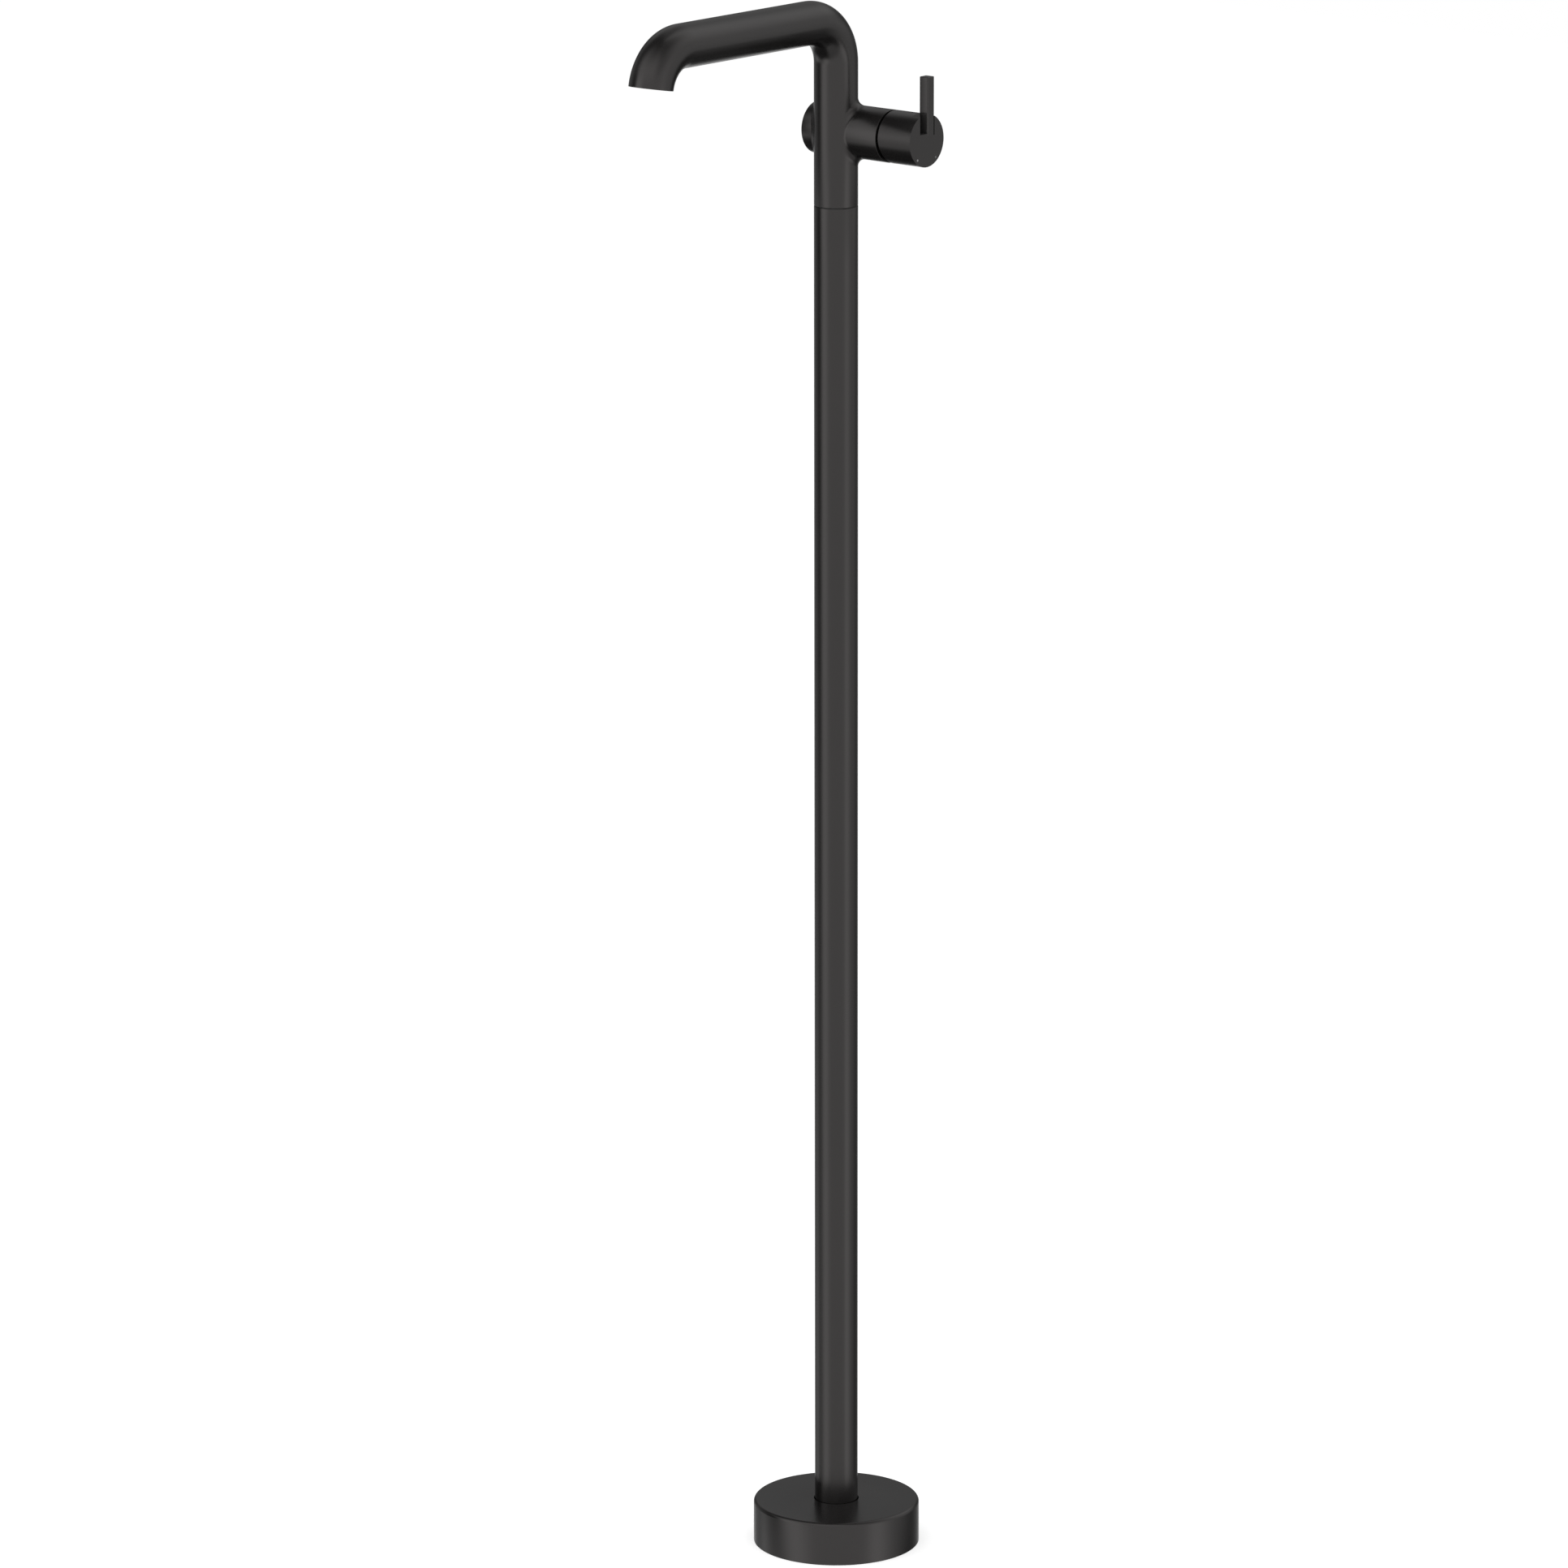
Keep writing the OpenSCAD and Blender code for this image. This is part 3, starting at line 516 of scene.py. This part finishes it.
def fillet_stations(rc, rb, f, by):
    """Centres of the ball that rolls round the corner of barrel and stem, from the barrel's middle.

    Each is (x, y, z, p), with p the angle about the barrel's axis from the front."""
    split = math.radians(60)
    front_steps, side_steps = 24, 32
    made = []
    for i in range(-front_steps, front_steps + 1):
        p = split * i / front_steps
        y = by - (rb + f) * math.cos(p)
        made.append((math.sqrt((rc + f) ** 2 - y * y), y, (rb + f) * math.sin(p), p))
    y0 = by - (rb + f) * math.cos(split)
    a0 = math.acos(-y0 / (rc + f))
    for i in range(1, side_steps + 1):
        a = a0 + (math.pi - a0) * i / side_steps
        y = -(rc + f) * math.cos(a)
        p = math.acos((by - y) / (rb + f))
        x = 0.0 if i == side_steps else (rc + f) * math.sin(a)
        z = (rb + f) * math.sin(p)
        made.append((x, y, z, p))
        made.insert(0, (x, y, -z, -p))
    return made


class TAP_OT_head(bpy.types.Operator):
    """Makes the one-piece head: stem, cross barrel, blended corner, arched spout and open mouth"""
    bl_idname = "tap.head"
    bl_label = "Head and Spout"

    def execute(self, context):
        s = context.scene.tap_sizes
        rc, rb, f, e = s.column_radius, s.barrel_radius, s.fillet_radius, s.edge
        by, bz = BARREL_Y, BARREL_Z
        low = HEAD_LO.z
        bend = s.bend_radius
        spout_z = HEAD_HI.z - rc
        bend_z = spout_z - bend
        nut_inset = 0.5 * MM
        left, right = HEAD_LO.x, NUT_HI.x + nut_inset
        skin = Skin()
        mid = Vector((0, 0, bz))
        stations = fillet_stations(rc, rb, f, by)
        tiny = 1e-9

        def on_stem(c):
            return Vector((c[0] * rc / (rc + f), c[1] * rc / (rc + f), c[2])) + mid

        def on_barrel(c):
            return Vector((c[0], by + (c[1] - by) * rb / (rb + f), c[2] * rb / (rb + f))) + mid

        def both_sides(rows):
            """Faces on both sides of the spout's plane, from the rows on the handle's side."""
            for side in (1, -1):
                skin.grid([[Vector((side * q.x, q.y, q.z)) for q in row] for row in rows])

        # Blended corner: between its two edges each row is an arc of the rolling ball
        blend_steps = 10
        rows = []
        for station in stations:
            c = Vector(station[:3]) + mid
            first, last = on_stem(station), on_barrel(station)
            u, v = (first - c) / f, (last - c) / f
            w = math.acos(max(-1.0, min(1.0, u.dot(v))))
            row = [first]
            for i in range(1, blend_steps):
                part = w * i / blend_steps
                row.append(c + (u * math.sin(w - part) + v * math.sin(part)) / math.sin(w) * f)
            rows.append(row + [last])
        both_sides(rows)

        # Angles round the stem, from the front, shared by stem and spout
        upper = [c for c in stations if c[2] >= -tiny]
        turns = [math.atan2(c[0], -c[1]) for c in upper]
        start, front_steps = turns[0], 10
        front = [start * i / front_steps for i in range(front_steps)]

        def ring(angle, z):
            return Vector((rc * math.sin(angle), -rc * math.cos(angle), z))

        both_sides([(on_stem(c), ring(a, bend_z)) for c, a in zip(upper, turns)])
        both_sides([(ring(a, low + e), on_stem((c[0], c[1], -c[2]))) for c, a in zip(upper, turns)])
        both_sides([(ring(a, low + e), ring(a, bz), ring(a, bend_z)) for a in front + [start]])

        angles = front + turns
        loop = angles + [-a for a in angles[-2:0:-1]]

        # Foot of the stem, the socket of the sleeve in it and the bore up to the hoses' seats
        socket, bore = rc - TUBE_WALL, rc - 3.75 * MM
        sleeve_top, bore_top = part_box("head_spigot")[1].z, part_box("hot_hose")[1].z
        rows = []
        inside = [(socket, low), (socket, sleeve_top), (bore, sleeve_top), (bore, bore_top)]
        for r, z in arc(rc - e, low + e, e, 0, -90, 4) + inside:
            rows.append([Vector((r * math.sin(a), -r * math.cos(a), z)) for a in loop])
        skin.grid(rows + [[Vector((0, 0, bore_top))]], loop=True)

        # Arched spout: first bend, straight run and outlet bend
        far_y = -s.spout_reach + bend * math.sin(s.outlet_turn)
        path = []
        bend_steps, run_steps = 36, 8
        for i in range(bend_steps + 1):
            t = math.radians(90 * i / bend_steps)
            path.append((Vector((0, -bend + bend * math.cos(t), bend_z + bend * math.sin(t))),
                         Vector((0, math.cos(t), math.sin(t)))))
        for i in range(1, run_steps + 1):
            path.append((Vector((0, -bend + (far_y + bend) * i / run_steps, spout_z)),
                         Vector((0, 0, 1))))
        for i in range(1, bend_steps + 1):
            t = s.outlet_turn * i / bend_steps
            path.append((Vector((0, far_y - bend * math.sin(t), bend_z + bend * math.cos(t))),
                         Vector((0, -math.sin(t), math.cos(t)))))
        out = path[-1][1]
        along = Vector((0, -out.z, out.y))
        tip = path.pop()[0]

        def section(centre, outward, r):
            return [centre + r * (Vector((math.sin(a), 0, 0)) - outward * math.cos(a))
                    for a in loop]

        rows = [section(c, o, rc) for c, o in path]
        inner = rc - s.spout_wall
        for r, t in arc(rc - e, 0, e, 0, 90, 4) + arc(inner + e, 0, e, 90, 180, 4):
            rows.append(section(tip + along * (t - e), out, r))

        # Waterway: straight seat at the mouth, the bore along the spout and the seat of its pipe
        seat_deep, seat_turn = 10.4 * MM, math.radians(31)
        rows += [section(tip - along * seat_deep, out, inner + FIT)]
        first = len(path) - math.ceil(bend_steps * seat_turn / s.outlet_turn)
        stride = 3
        rows += [section(c, o, inner) for c, o in path[first - first % stride::-stride]]
        pipe_lo, pipe_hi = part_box("outlet_pipe")
        pipe_r, pipe_cup = (pipe_hi.x - pipe_lo.x) / 2 + FIT, pipe_lo.z + 10 * MM
        for r, z in ((inner, pipe_cup), (pipe_r, pipe_cup), (pipe_r, pipe_lo.z)):
            rows += [section(Vector((0, 0, z)), Vector((0, 1, 0)), r)]
        skin.grid(rows + [[Vector((0, 0, pipe_lo.z))]], loop=True)

        # Cross barrel
        def tube(x, p):
            return Vector((x, by - rb * math.cos(p), bz + rb * math.sin(p)))

        for side, end in ((1, right - e), (-1, left + e)):
            rows = []
            for c in stations:
                q = on_barrel(c)
                rows.append([Vector((side * q.x, q.y, q.z)), tube(end, c[3])])
            skin.grid(rows)
        spread, back_steps = [c[3] for c in stations], 40
        last = spread[-1]
        back = [last + (2 * math.pi - 2 * last) * i / back_steps for i in range(back_steps + 1)]
        skin.grid([[tube(left + e, p), tube(0, p), tube(right - e, p)] for p in back])
        around = spread + back[1:-1]

        def hoop(x, r):
            return [Vector((x, by - r * math.cos(p), bz + r * math.sin(p))) for p in around]

        mouth = (NUT_HI.y - NUT_LO.y) / 2 + FIT
        rows = [hoop(right - e + t, r)
                for r, t in arc(rb - e, 0, e, 0, 90, 4) + arc(mouth + e, 0, e, 90, 180, 4)]
        cell_lo, cell_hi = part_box("cartridge_housing")
        cell_r = (cell_hi.y - cell_lo.y) / 2 + FIT
        rows += [hoop(NUT_LO.x, mouth), hoop(NUT_LO.x, cell_r), hoop(cell_lo.x, cell_r)]
        skin.grid(rows + [[Vector((cell_lo.x, by, bz))]], loop=True)
        seat, lip = (CAP_HI.y - CAP_LO.y) / 2 + FIT, 0.1 * MM
        rows = [hoop(left + e - t, r) for r, t in arc(rb - e, 0, e, 0, 90, 4)]
        rows += [hoop(left + e - t, r) for r, t in arc(seat + lip, e - lip, lip, 90, 180, 2)]
        rows += [hoop(CAP_HI.x, seat)]
        skin.grid(rows + [[Vector((CAP_HI.x, by, bz))]], loop=True)
        crease = 40.0
        made = skin.finish("Head", crease)

        # Hole of the locking screw behind, with a small countersink
        lo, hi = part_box("spigot_screw")
        r = (hi.x - lo.x) / 2 + FIT
        sink, past, flare = rc - 0.3 * MM, rc + 0.7 * MM, 1 * MM
        profile = [(0.0, 0.0), (r, 0.0), (r, sink), (r + flare, past), (0.0, past)]
        hole = turn_profile("Cut_Lock", profile, (0, 0, (lo.z + hi.z) / 2), (0, 1, 0), 48, False)
        carve(made, [hole], 0)
        weld(made.data, crease)
        dress(made, powder_coat(), "base", "upper_body")
        return {"FINISHED"}


class TAP_OT_back_cap(bpy.types.Operator):
    """Makes the flush cap in the blind end of the barrel, with its fine joint line"""
    bl_idname = "tap.back_cap"
    bl_label = "Back Cap"

    def execute(self, context):
        r = (CAP_HI.y - CAP_LO.y) / 2
        deep = CAP_HI.x - CAP_LO.x
        e = 0.35 * MM
        ring_at, ring_end, ring_in = 2.2 * MM, 4.4 * MM, r - 2 * MM
        profile = [(0.0, 0.0)] + arc(r - e, e, e, -90, 0, 5)
        profile += [(r, ring_at), (ring_in, ring_at), (ring_in, ring_end), (r, ring_end),
                    (r, deep), (0.0, deep)]
        centre = ((CAP_LO.y + CAP_HI.y) / 2, (CAP_LO.z + CAP_HI.z) / 2)
        made = turn_profile("Back_Cap", profile, (CAP_LO.x, *centre), (1, 0, 0), 128, False)
        dress(made, powder_coat(), "base", "back_cap")
        return {"FINISHED"}


class TAP_OT_handle(bpy.types.Operator):
    """Makes the handle: a cup with a bevelled lower rim, the lever's slot and a key hole below"""
    bl_idname = "tap.handle"
    bl_label = "Handle"

    def execute(self, context):
        s = context.scene.tap_sizes
        r, by, bz = s.barrel_radius, BARREL_Y, BARREL_Z
        x0, x1 = HANDLE_LO.x + s.rim_inset, HANDLE_HI.x
        long = x1 - x0

        # Cup with a hub inside, its outside split near the rim and near the face
        thick, wall = 3.1 * MM, 2.4 * MM
        web, inner = long - (LEVER_HI.x - LEVER_LO.x) - thick, r - wall
        hub, hub_at = 8 * MM, 6.4 * MM
        near_rim, near_face = 3.2 * MM, long - 1 * MM
        profile = [(r, 0.0), (r, near_rim), (r, near_face), (r, long), (0.0, long),
                   (0.0, hub_at), (hub, hub_at), (hub, web), (inner, web), (inner, 0.0), (r, 0.0)]
        made = turn_profile("Handle", profile, (x0, by, bz), (1, 0, 0), 176, False)
        past = 40 * MM  # reaches clear of the handle on every side

        # Bevel of the rim below its middle
        wedge = prism("Cut_Rim", [(-past, -past), (0, -past), (0, past), (-past, past)], -past, 0)
        slope = math.atan(s.rim_bevel / r)
        wedge.matrix_world = Matrix.Translation((x0, by, bz)) @ Matrix.Rotation(-slope, 4, "Y")

        # Slot that holds the lever, and the free room beside it with its sloping floor
        edge_y, back_x, out_x = LEVER_LO.y - FIT, LEVER_LO.x - FIT, x1 + past
        slot = prism("Cut_Slot", [(back_x, edge_y), (out_x, edge_y), (out_x, LEVER_HI.y + FIT),
                                  (back_x, LEVER_HI.y + FIT)], LEVER_LO.z, bz + past)
        start, deep_x, overlap = LEVER_LO.y - s.slot_free, x1 - s.slot_deep, 1 * MM
        room = prism("Cut_Room", [(out_x, start), (x1, start), (deep_x, LEVER_LO.y),
                                  (deep_x, LEVER_LO.y + overlap), (out_x, LEVER_LO.y + overlap)],
                     LEVER_LO.z + s.slot_rise, bz + past)

        # Key hole of the handle's set screw and well of the lever's screw, both from below
        def drill(name, x, y, radius, top):
            profile = [(0.0, -past), (radius, -past), (radius, top), (0.0, top)]
            return turn_profile(name, profile, (x, y, bz), (0, 0, 1), 40, False)

        hole_x, hole_r, well_r, deep = HANDLE_LO.x + 11.95 * MM, 2.05 * MM, 2.85 * MM, 3 * MM
        hole = drill("Cut_Hole", hole_x, by, hole_r, -deep)
        lo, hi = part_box("lever_screw")
        well = drill("Cut_Well", (lo.x + hi.x) / 2, (lo.y + hi.y) / 2, well_r, lo.z - bz + deep)
        carve(made, [wedge, slot, room, hole, well], s.edge)
        # Painted light: the slot and the free room beside the lever get the lighter slot colour in
        # their shade
        recess = ((deep_x - FIT, start - FIT, LEVER_LO.z), (x1 - s.edge, LEVER_HI.y, bz + past))
        dress(made, powder_coat("Handle Coat", recess), "handle_group", "handle")
        return {"FINISHED"}


class TAP_OT_lever(bpy.types.Operator):
    """Makes the square lever bar that stands in the handle's slot"""
    bl_idname = "tap.lever"
    bl_label = "Lever"

    def execute(self, context):
        s = context.scene.tap_sizes
        centre = (LEVER_LO + LEVER_HI) / 2
        half = Vector(((LEVER_HI.x - LEVER_LO.x) / 2, (LEVER_HI.y - LEVER_LO.y) / 2))
        r, least_r, e = 1.0 * MM, 0.3 * MM, 0.45 * MM
        steps = 8

        def outline(inset, z):
            """The bar's outline at height z, set back by inset."""
            rr = max(r - inset, least_r)
            row = []
            for k, (sx, sy) in enumerate(((1, 1), (-1, 1), (-1, -1), (1, -1))):
                x, y = sx * (half.x - inset - rr), sy * (half.y - inset - rr)
                for i in range(steps + 1):
                    a = math.radians(90 * k + 90 * i / steps)
                    row.append(Vector((centre.x + x + rr * math.cos(a),
                                       centre.y + y + rr * math.sin(a), z)))
            return row

        low, high = LEVER_LO.z, LEVER_HI.z
        rows = [[Vector((centre.x, centre.y, low))], outline(0, low)]
        rows += [outline(0, low + (high - e - low) * i / steps) for i in range(1, steps)]
        rows += [outline(e - a, high - e + b) for a, b in arc(0, 0, e, 0, 90, 6)]
        rows += [[Vector((centre.x, centre.y, high))]]
        skin = Skin()
        skin.grid(rows, loop=True)
        made = skin.finish("Lever", 35.0)
        # Painted light: the lever's side face below the handle's outline, in the slot's shade, gets
        # the lighter slot colour
        top = BARREL_Z + math.sqrt(s.barrel_radius ** 2 - (BARREL_Y - LEVER_LO.y) ** 2)
        foot = ((LEVER_LO.x - e, LEVER_LO.y - e, low), (LEVER_HI.x + e, LEVER_LO.y + e, top))
        dress(made, powder_coat("Lever Coat", foot), "handle_group", "lever")
        return {"FINISHED"}


class TAP_OT_marks(bpy.types.Operator):
    """Paints the two small marker dots on the handle's face"""
    bl_idname = "tap.marks"
    bl_label = "Marker Dots"

    def execute(self, context):
        tones = context.scene.tap_colours
        warm, cool = tones.warm_mark, tones.cool_mark
        paint("hot_mark", speckled("Pale Dot", warm, [c * 1.15 for c in warm], 0.5, 0.3))
        paint("cold_mark", speckled("Dim Dot", cool, [c * 1.15 for c in cool], 0.5, 0.3))
        return {"FINISHED"}


class TAP_OT_outlet(bpy.types.Operator):
    """Finishes the flow straightener in the spout's mouth"""
    bl_idname = "tap.outlet"
    bl_label = "Outlet"

    def execute(self, context):
        dark = speckled("Moulded Grey", (0.05, 0.052, 0.055), (0.07, 0.072, 0.075), 0.45, 0.8)
        paint("aerator_housing", dark)
        paint("aerator_insert", dark)
        return {"FINISHED"}


class TAP_OT_inside(bpy.types.Operator):
    """Finishes the pieces inside: cartridge, waterways, screws, plate and seals"""
    bl_idname = "tap.inside"
    bl_label = "Inside Pieces"

    def execute(self, context):
        zinc = speckled("Zinc Plate", (0.56, 0.57, 0.6), (0.66, 0.67, 0.69), 0.34, 1.2, 1.0, 0.006)
        brass_up = turned("Turned Brass Upright", (0.70, 0.52, 0.24), (0.80, 0.64, 0.36), 0.3, 2)
        brass_side = turned("Turned Brass", (0.70, 0.52, 0.24), (0.80, 0.64, 0.36), 0.3, 0)
        rubber = speckled("Seal Rubber", (0.018, 0.018, 0.018), (0.03, 0.03, 0.03), 0.78, 0.5)
        white = speckled("White Moulding", (0.74, 0.74, 0.72), (0.8, 0.8, 0.78), 0.42, 1.0)
        grey = speckled("Carrier Moulding", (0.2, 0.21, 0.23), (0.26, 0.27, 0.29), 0.45, 1.0)
        stone = speckled("Lapped Ceramic", (0.84, 0.84, 0.81), (0.9, 0.9, 0.88), 0.16, 0.5,
                         depth=0.002)
        red = speckled("Red Hose", (0.40, 0.07, 0.06), (0.5, 0.11, 0.09), 0.5, 2.0)
        blue = speckled("Blue Hose", (0.05, 0.13, 0.40), (0.09, 0.19, 0.5), 0.5, 2.0)
        milky = speckled("Milky Hose", (0.62, 0.63, 0.62), (0.72, 0.73, 0.72), 0.4, 3.0)
        for finish, nodes in (
                (zinc, "floor_plate column_socket socket_screws column_set_screws spigot_screw "
                       "pivot_pin handle_set_screw lever_screw"),
                (brass_up, "hot_inlet cold_inlet outlet_adapter"),
                (brass_side, "retaining_nut stem"),
                (rubber, "cover_ring back_cap_seal aerator_seal port_seals"),
                (white, "cartridge_housing rotor"),
                (grey, "disc_carrier"),
                (stone, "fixed_disc moving_disc"),
                (red, "hot_hose"), (blue, "cold_hose"), (milky, "outlet_pipe")):
            for node in nodes.split():
                paint(node, finish)
        return {"FINISHED"}


def softbox(name, centre, target, width, height, power):
    """A rectangular lamp that faces a target and isn't seen in the gloss."""
    lamp = bpy.data.lights.new(name, "AREA")
    lamp.shape, lamp.size, lamp.size_y = "RECTANGLE", width, height
    lamp.energy = power * bpy.context.scene.tap_stage.lamp
    made = put(name, lamp)
    made.location = centre
    made.rotation_euler = (Vector(target) - Vector(centre)).to_track_quat("-Z", "Y").to_euler()
    made.visible_glossy = False


def studio_level(f, az):
    """Strength of the studio that the gloss mirrors, by direction.

    turn is the direction's angle to the right of the camera's side, left the same to the other
    side, and rise its angle above level ground, all in degrees. The bands are a photo studio's:
    bright panels on both sides of the camera, dark gaps beside and above them."""
    way = f.add("ShaderNodeTexCoord").outputs["Generated"]

    def along(x, y, z):
        return f.number(f.add("ShaderNodeVectorMath", {"operation": "DOT_PRODUCT"},
                              {0: way, 1: (x, y, z)}), "Value")

    def soft(value, low, high):
        return f.ramp(value, low, high, "SMOOTHSTEP")

    fore = along(math.sin(az), -math.cos(az), 0)
    turn = fore.apply("ARCTAN2", along(math.cos(az), math.sin(az), 0), fore) * math.degrees(1)
    rise = fore.apply("ARCSINE", along(0, 0, 1)) * math.degrees(1)
    left = 0 - turn
    near = soft(0 - rise, 14.3, 18)  # 1 for the low directions, mostly in the cover's gloss
    high = soft(rise, -8, 4)  # 1 for level directions and above, mostly in the head's gloss

    # Level band, from the camera to the left
    panel = 0.66 * soft(left + 12 * near, 41, 58)
    fade = 1.81 - 0.75 * near * (1 - soft(left, 116, 138))
    gap = fade * soft(left + 12 * near, 68 + 10 * high, 94 - 4 * high)
    rim = 0.25 * soft(left, 100, 122) * (1 - high * soft(left, 140, 158))
    level = 1.18 + panel - gap + rim

    # Level band, from the camera to the right
    ridge = 0.7 * soft(turn, 38, 56) * (1 - soft(turn, 56, 88)) * (1 - 0.85 * soft(rise, -16, 0))
    fall = 0.3 * soft(turn, 56, 88) + 0.11 * soft(turn, 80, 100) * (1 - high)
    gap = (0.68 + 0.12 * high) * soft(turn + 20 * near, 95 + 5 * high, 138 + 12 * high)
    rim = 0.1 * soft(turn, 128, 146) * (1 - high)
    level = level + ridge - fall - gap + rim

    # Level band straight behind the tap
    behind = soft(turn.apply("ABSOLUTE", turn), 150, 172)
    level = level + (0.9 - 0.7 * soft(rise, -12, -2) - level) * behind

    # Overhead: a bright panel left of the camera, a dimmer one to the right
    glow = soft(turn, -120, -74) * (1 - soft(turn, 2, 34)) * (1 - soft(rise, 34, 84))
    dim = 0.44 * soft(rise, 36, 60) * (1 - soft(turn, 85, 115))
    upper = (0.08 + 1.35 * glow + (0.64 - dim) * soft(turn, 5, 35) + 0.45 * soft(turn, 45, 100)
             - 0.8 * soft(turn, 118, 172) + 0.38 * soft(left - 14 * soft(rise, 38, 52), 122, 165))

    # Ground: dark, with some light from the right
    lower = 0.06 + 0.6 * soft(turn, -45, -20) - 0.56 * soft(turn, 60, 100)

    level = level + (upper - level) * soft(rise, 12, 32)
    return level + (lower - level) * soft(7 * soft(left, 60, 90) - rise, 31, 45)


class TAP_OT_stage(bpy.types.Operator):
    """Sets up the pale floor, the soft studio light, the white surround and the camera"""
    bl_idname = "tap.stage"
    bl_label = "Studio"

    def execute(self, context):
        scene = context.scene
        s = scene.tap_stage

        # Camera
        az, tilt, yaw, far = s.azimuth, s.tilt, s.yaw, s.distance
        lens = bpy.data.cameras.new("Camera")
        lens.lens, lens.sensor_width, lens.clip_end = s.lens, 36.0, 60.0
        camera = put("Camera", lens)
        camera.location = (far * math.sin(az), -far * math.cos(az), s.height)
        look = Vector((-math.sin(az + yaw) * math.cos(tilt), math.cos(az + yaw) * math.cos(tilt),
                       -math.sin(tilt)))
        upright = look.to_track_quat("-Z", "Y").to_matrix().to_4x4()
        camera.rotation_euler = (Matrix.Rotation(s.roll, 4, look) @ upright).to_euler()
        scene.camera = camera

        # Floor, 12 m square, which the camera sees as white under the tap's own soft shadow
        skin = Skin()
        steps = range(-6, 7)
        skin.grid([[Vector((x, y, 0)) for x in steps] for y in steps])
        floor = skin.finish("Floor")
        f = Finish("Pale Floor")
        rays = f.add("ShaderNodeLightPath").outputs
        seen = Number(f, rays["Is Camera Ray"]) + Number(f, rays["Is Transmission Ray"])
        tone = f.blend(f.noise(f.place(), 0.4), (0.84, 0.84, 0.84, 1), (0.86, 0.86, 0.86, 1))
        plain = f.add("ShaderNodeBsdfDiffuse", None, {"Color": tone})
        glow = f.add("ShaderNodeEmission", None, {"Color": (1, 1, 1, 1), "Strength": 1.0})
        added = f.add("ShaderNodeMixShader", None, {0: seen * s.floor_glow, 2: glow.outputs[0]})
        both = f.add("ShaderNodeAddShader", None, {0: plain.outputs[0], 1: added.outputs[0]})
        f.tree.links.new(both.outputs[0], f.output.inputs["Surface"])
        floor.data.materials.append(f.material)
        floor.visible_glossy = False

        # Surround: white behind the tap, with the studio's bright and dim sides in its gloss
        f = Finish.world("Studio")
        rays = f.add("ShaderNodeLightPath").outputs
        level = studio_level(f, az)
        gloss = f.add("ShaderNodeBackground", None, {"Color": (1, 1, 1, 1), "Strength": level})
        sky = f.add("ShaderNodeBackground", None, {"Color": (1, 1, 1, 1), "Strength": s.sky})
        white = f.add("ShaderNodeBackground", None, {"Color": (1, 1, 1, 1), "Strength": 1.0})
        mirrored = f.add("ShaderNodeMixShader", None, {0: rays["Is Glossy Ray"], 1: sky.outputs[0],
                                                       2: gloss.outputs[0]})
        seen = Number(f, rays["Is Camera Ray"]) + Number(f, rays["Is Transmission Ray"])
        surround = f.add("ShaderNodeMixShader", None, {0: seen, 1: mirrored.outputs[0],
                                                       2: white.outputs[0]})
        f.tree.links.new(surround.outputs[0], f.output.inputs["Surface"])

        # Soft lamps, placed by their turn from the camera's side
        def about(turn, distance, height):
            a = az + math.radians(turn)
            return (distance * math.sin(a), -distance * math.cos(a), height)

        softbox("Key_Lamp", about(-66, 2.4, 1.1), (0, 0, 0.6), 0.9, 2.2, 10)
        softbox("Fill_Lamp", about(38, 3.2, 1.3), (0, 0, 0.6), 2.6, 2.4, 14)
        softbox("Top_Lamp", about(-10, 0.6, 3.2), (0, 0, 1.0), 1.8, 1.8, 14)
        return {"FINISHED"}


PIECES = ("base", "column", "head", "back_cap", "handle", "lever", "marks", "outlet", "inside")


class TAP_PT_panel(bpy.types.Panel):
    """Lists the tap's pieces, its sizes and its colours"""
    bl_label = "Floor Mixer Tap"
    bl_idname = "TAP_PT_panel"
    bl_space_type = "VIEW_3D"
    bl_region_type = "UI"
    bl_category = "Tap"

    def draw(self, context):
        column = self.layout.column(align=True)
        for name in PIECES:
            column.operator(f"tap.{name}")
        column.operator("tap.stage")
        for group in ("tap_sizes", "tap_colours", "tap_stage"):
            box = self.layout.box()
            for key in getattr(context.scene, group).bl_rna.properties.keys():
                if key not in ("rna_type", "name"):
                    box.prop(getattr(context.scene, group), key)


CLASSES = (TapSizes, TapColours, TapStage, TAP_OT_base, TAP_OT_column, TAP_OT_head,
           TAP_OT_back_cap, TAP_OT_handle, TAP_OT_lever, TAP_OT_marks, TAP_OT_outlet,
           TAP_OT_inside, TAP_OT_stage, TAP_PT_panel)


def register():
    for cls in CLASSES:
        bpy.utils.register_class(cls)
    bpy.types.Scene.tap_sizes = bpy.props.PointerProperty(type=TapSizes)
    bpy.types.Scene.tap_colours = bpy.props.PointerProperty(type=TapColours)
    bpy.types.Scene.tap_stage = bpy.props.PointerProperty(type=TapStage)


def unregister():
    for name in ("tap_sizes", "tap_colours", "tap_stage"):
        delattr(bpy.types.Scene, name)
    for cls in reversed(CLASSES):
        bpy.utils.unregister_class(cls)


def main():
    register()
    scene = bpy.context.scene
    scene.view_settings.view_transform = "Standard"
    bpy.ops.tap.stage()
    for name in PIECES:
        getattr(bpy.ops.tap, name)()


if __name__ == "__main__":
    main()
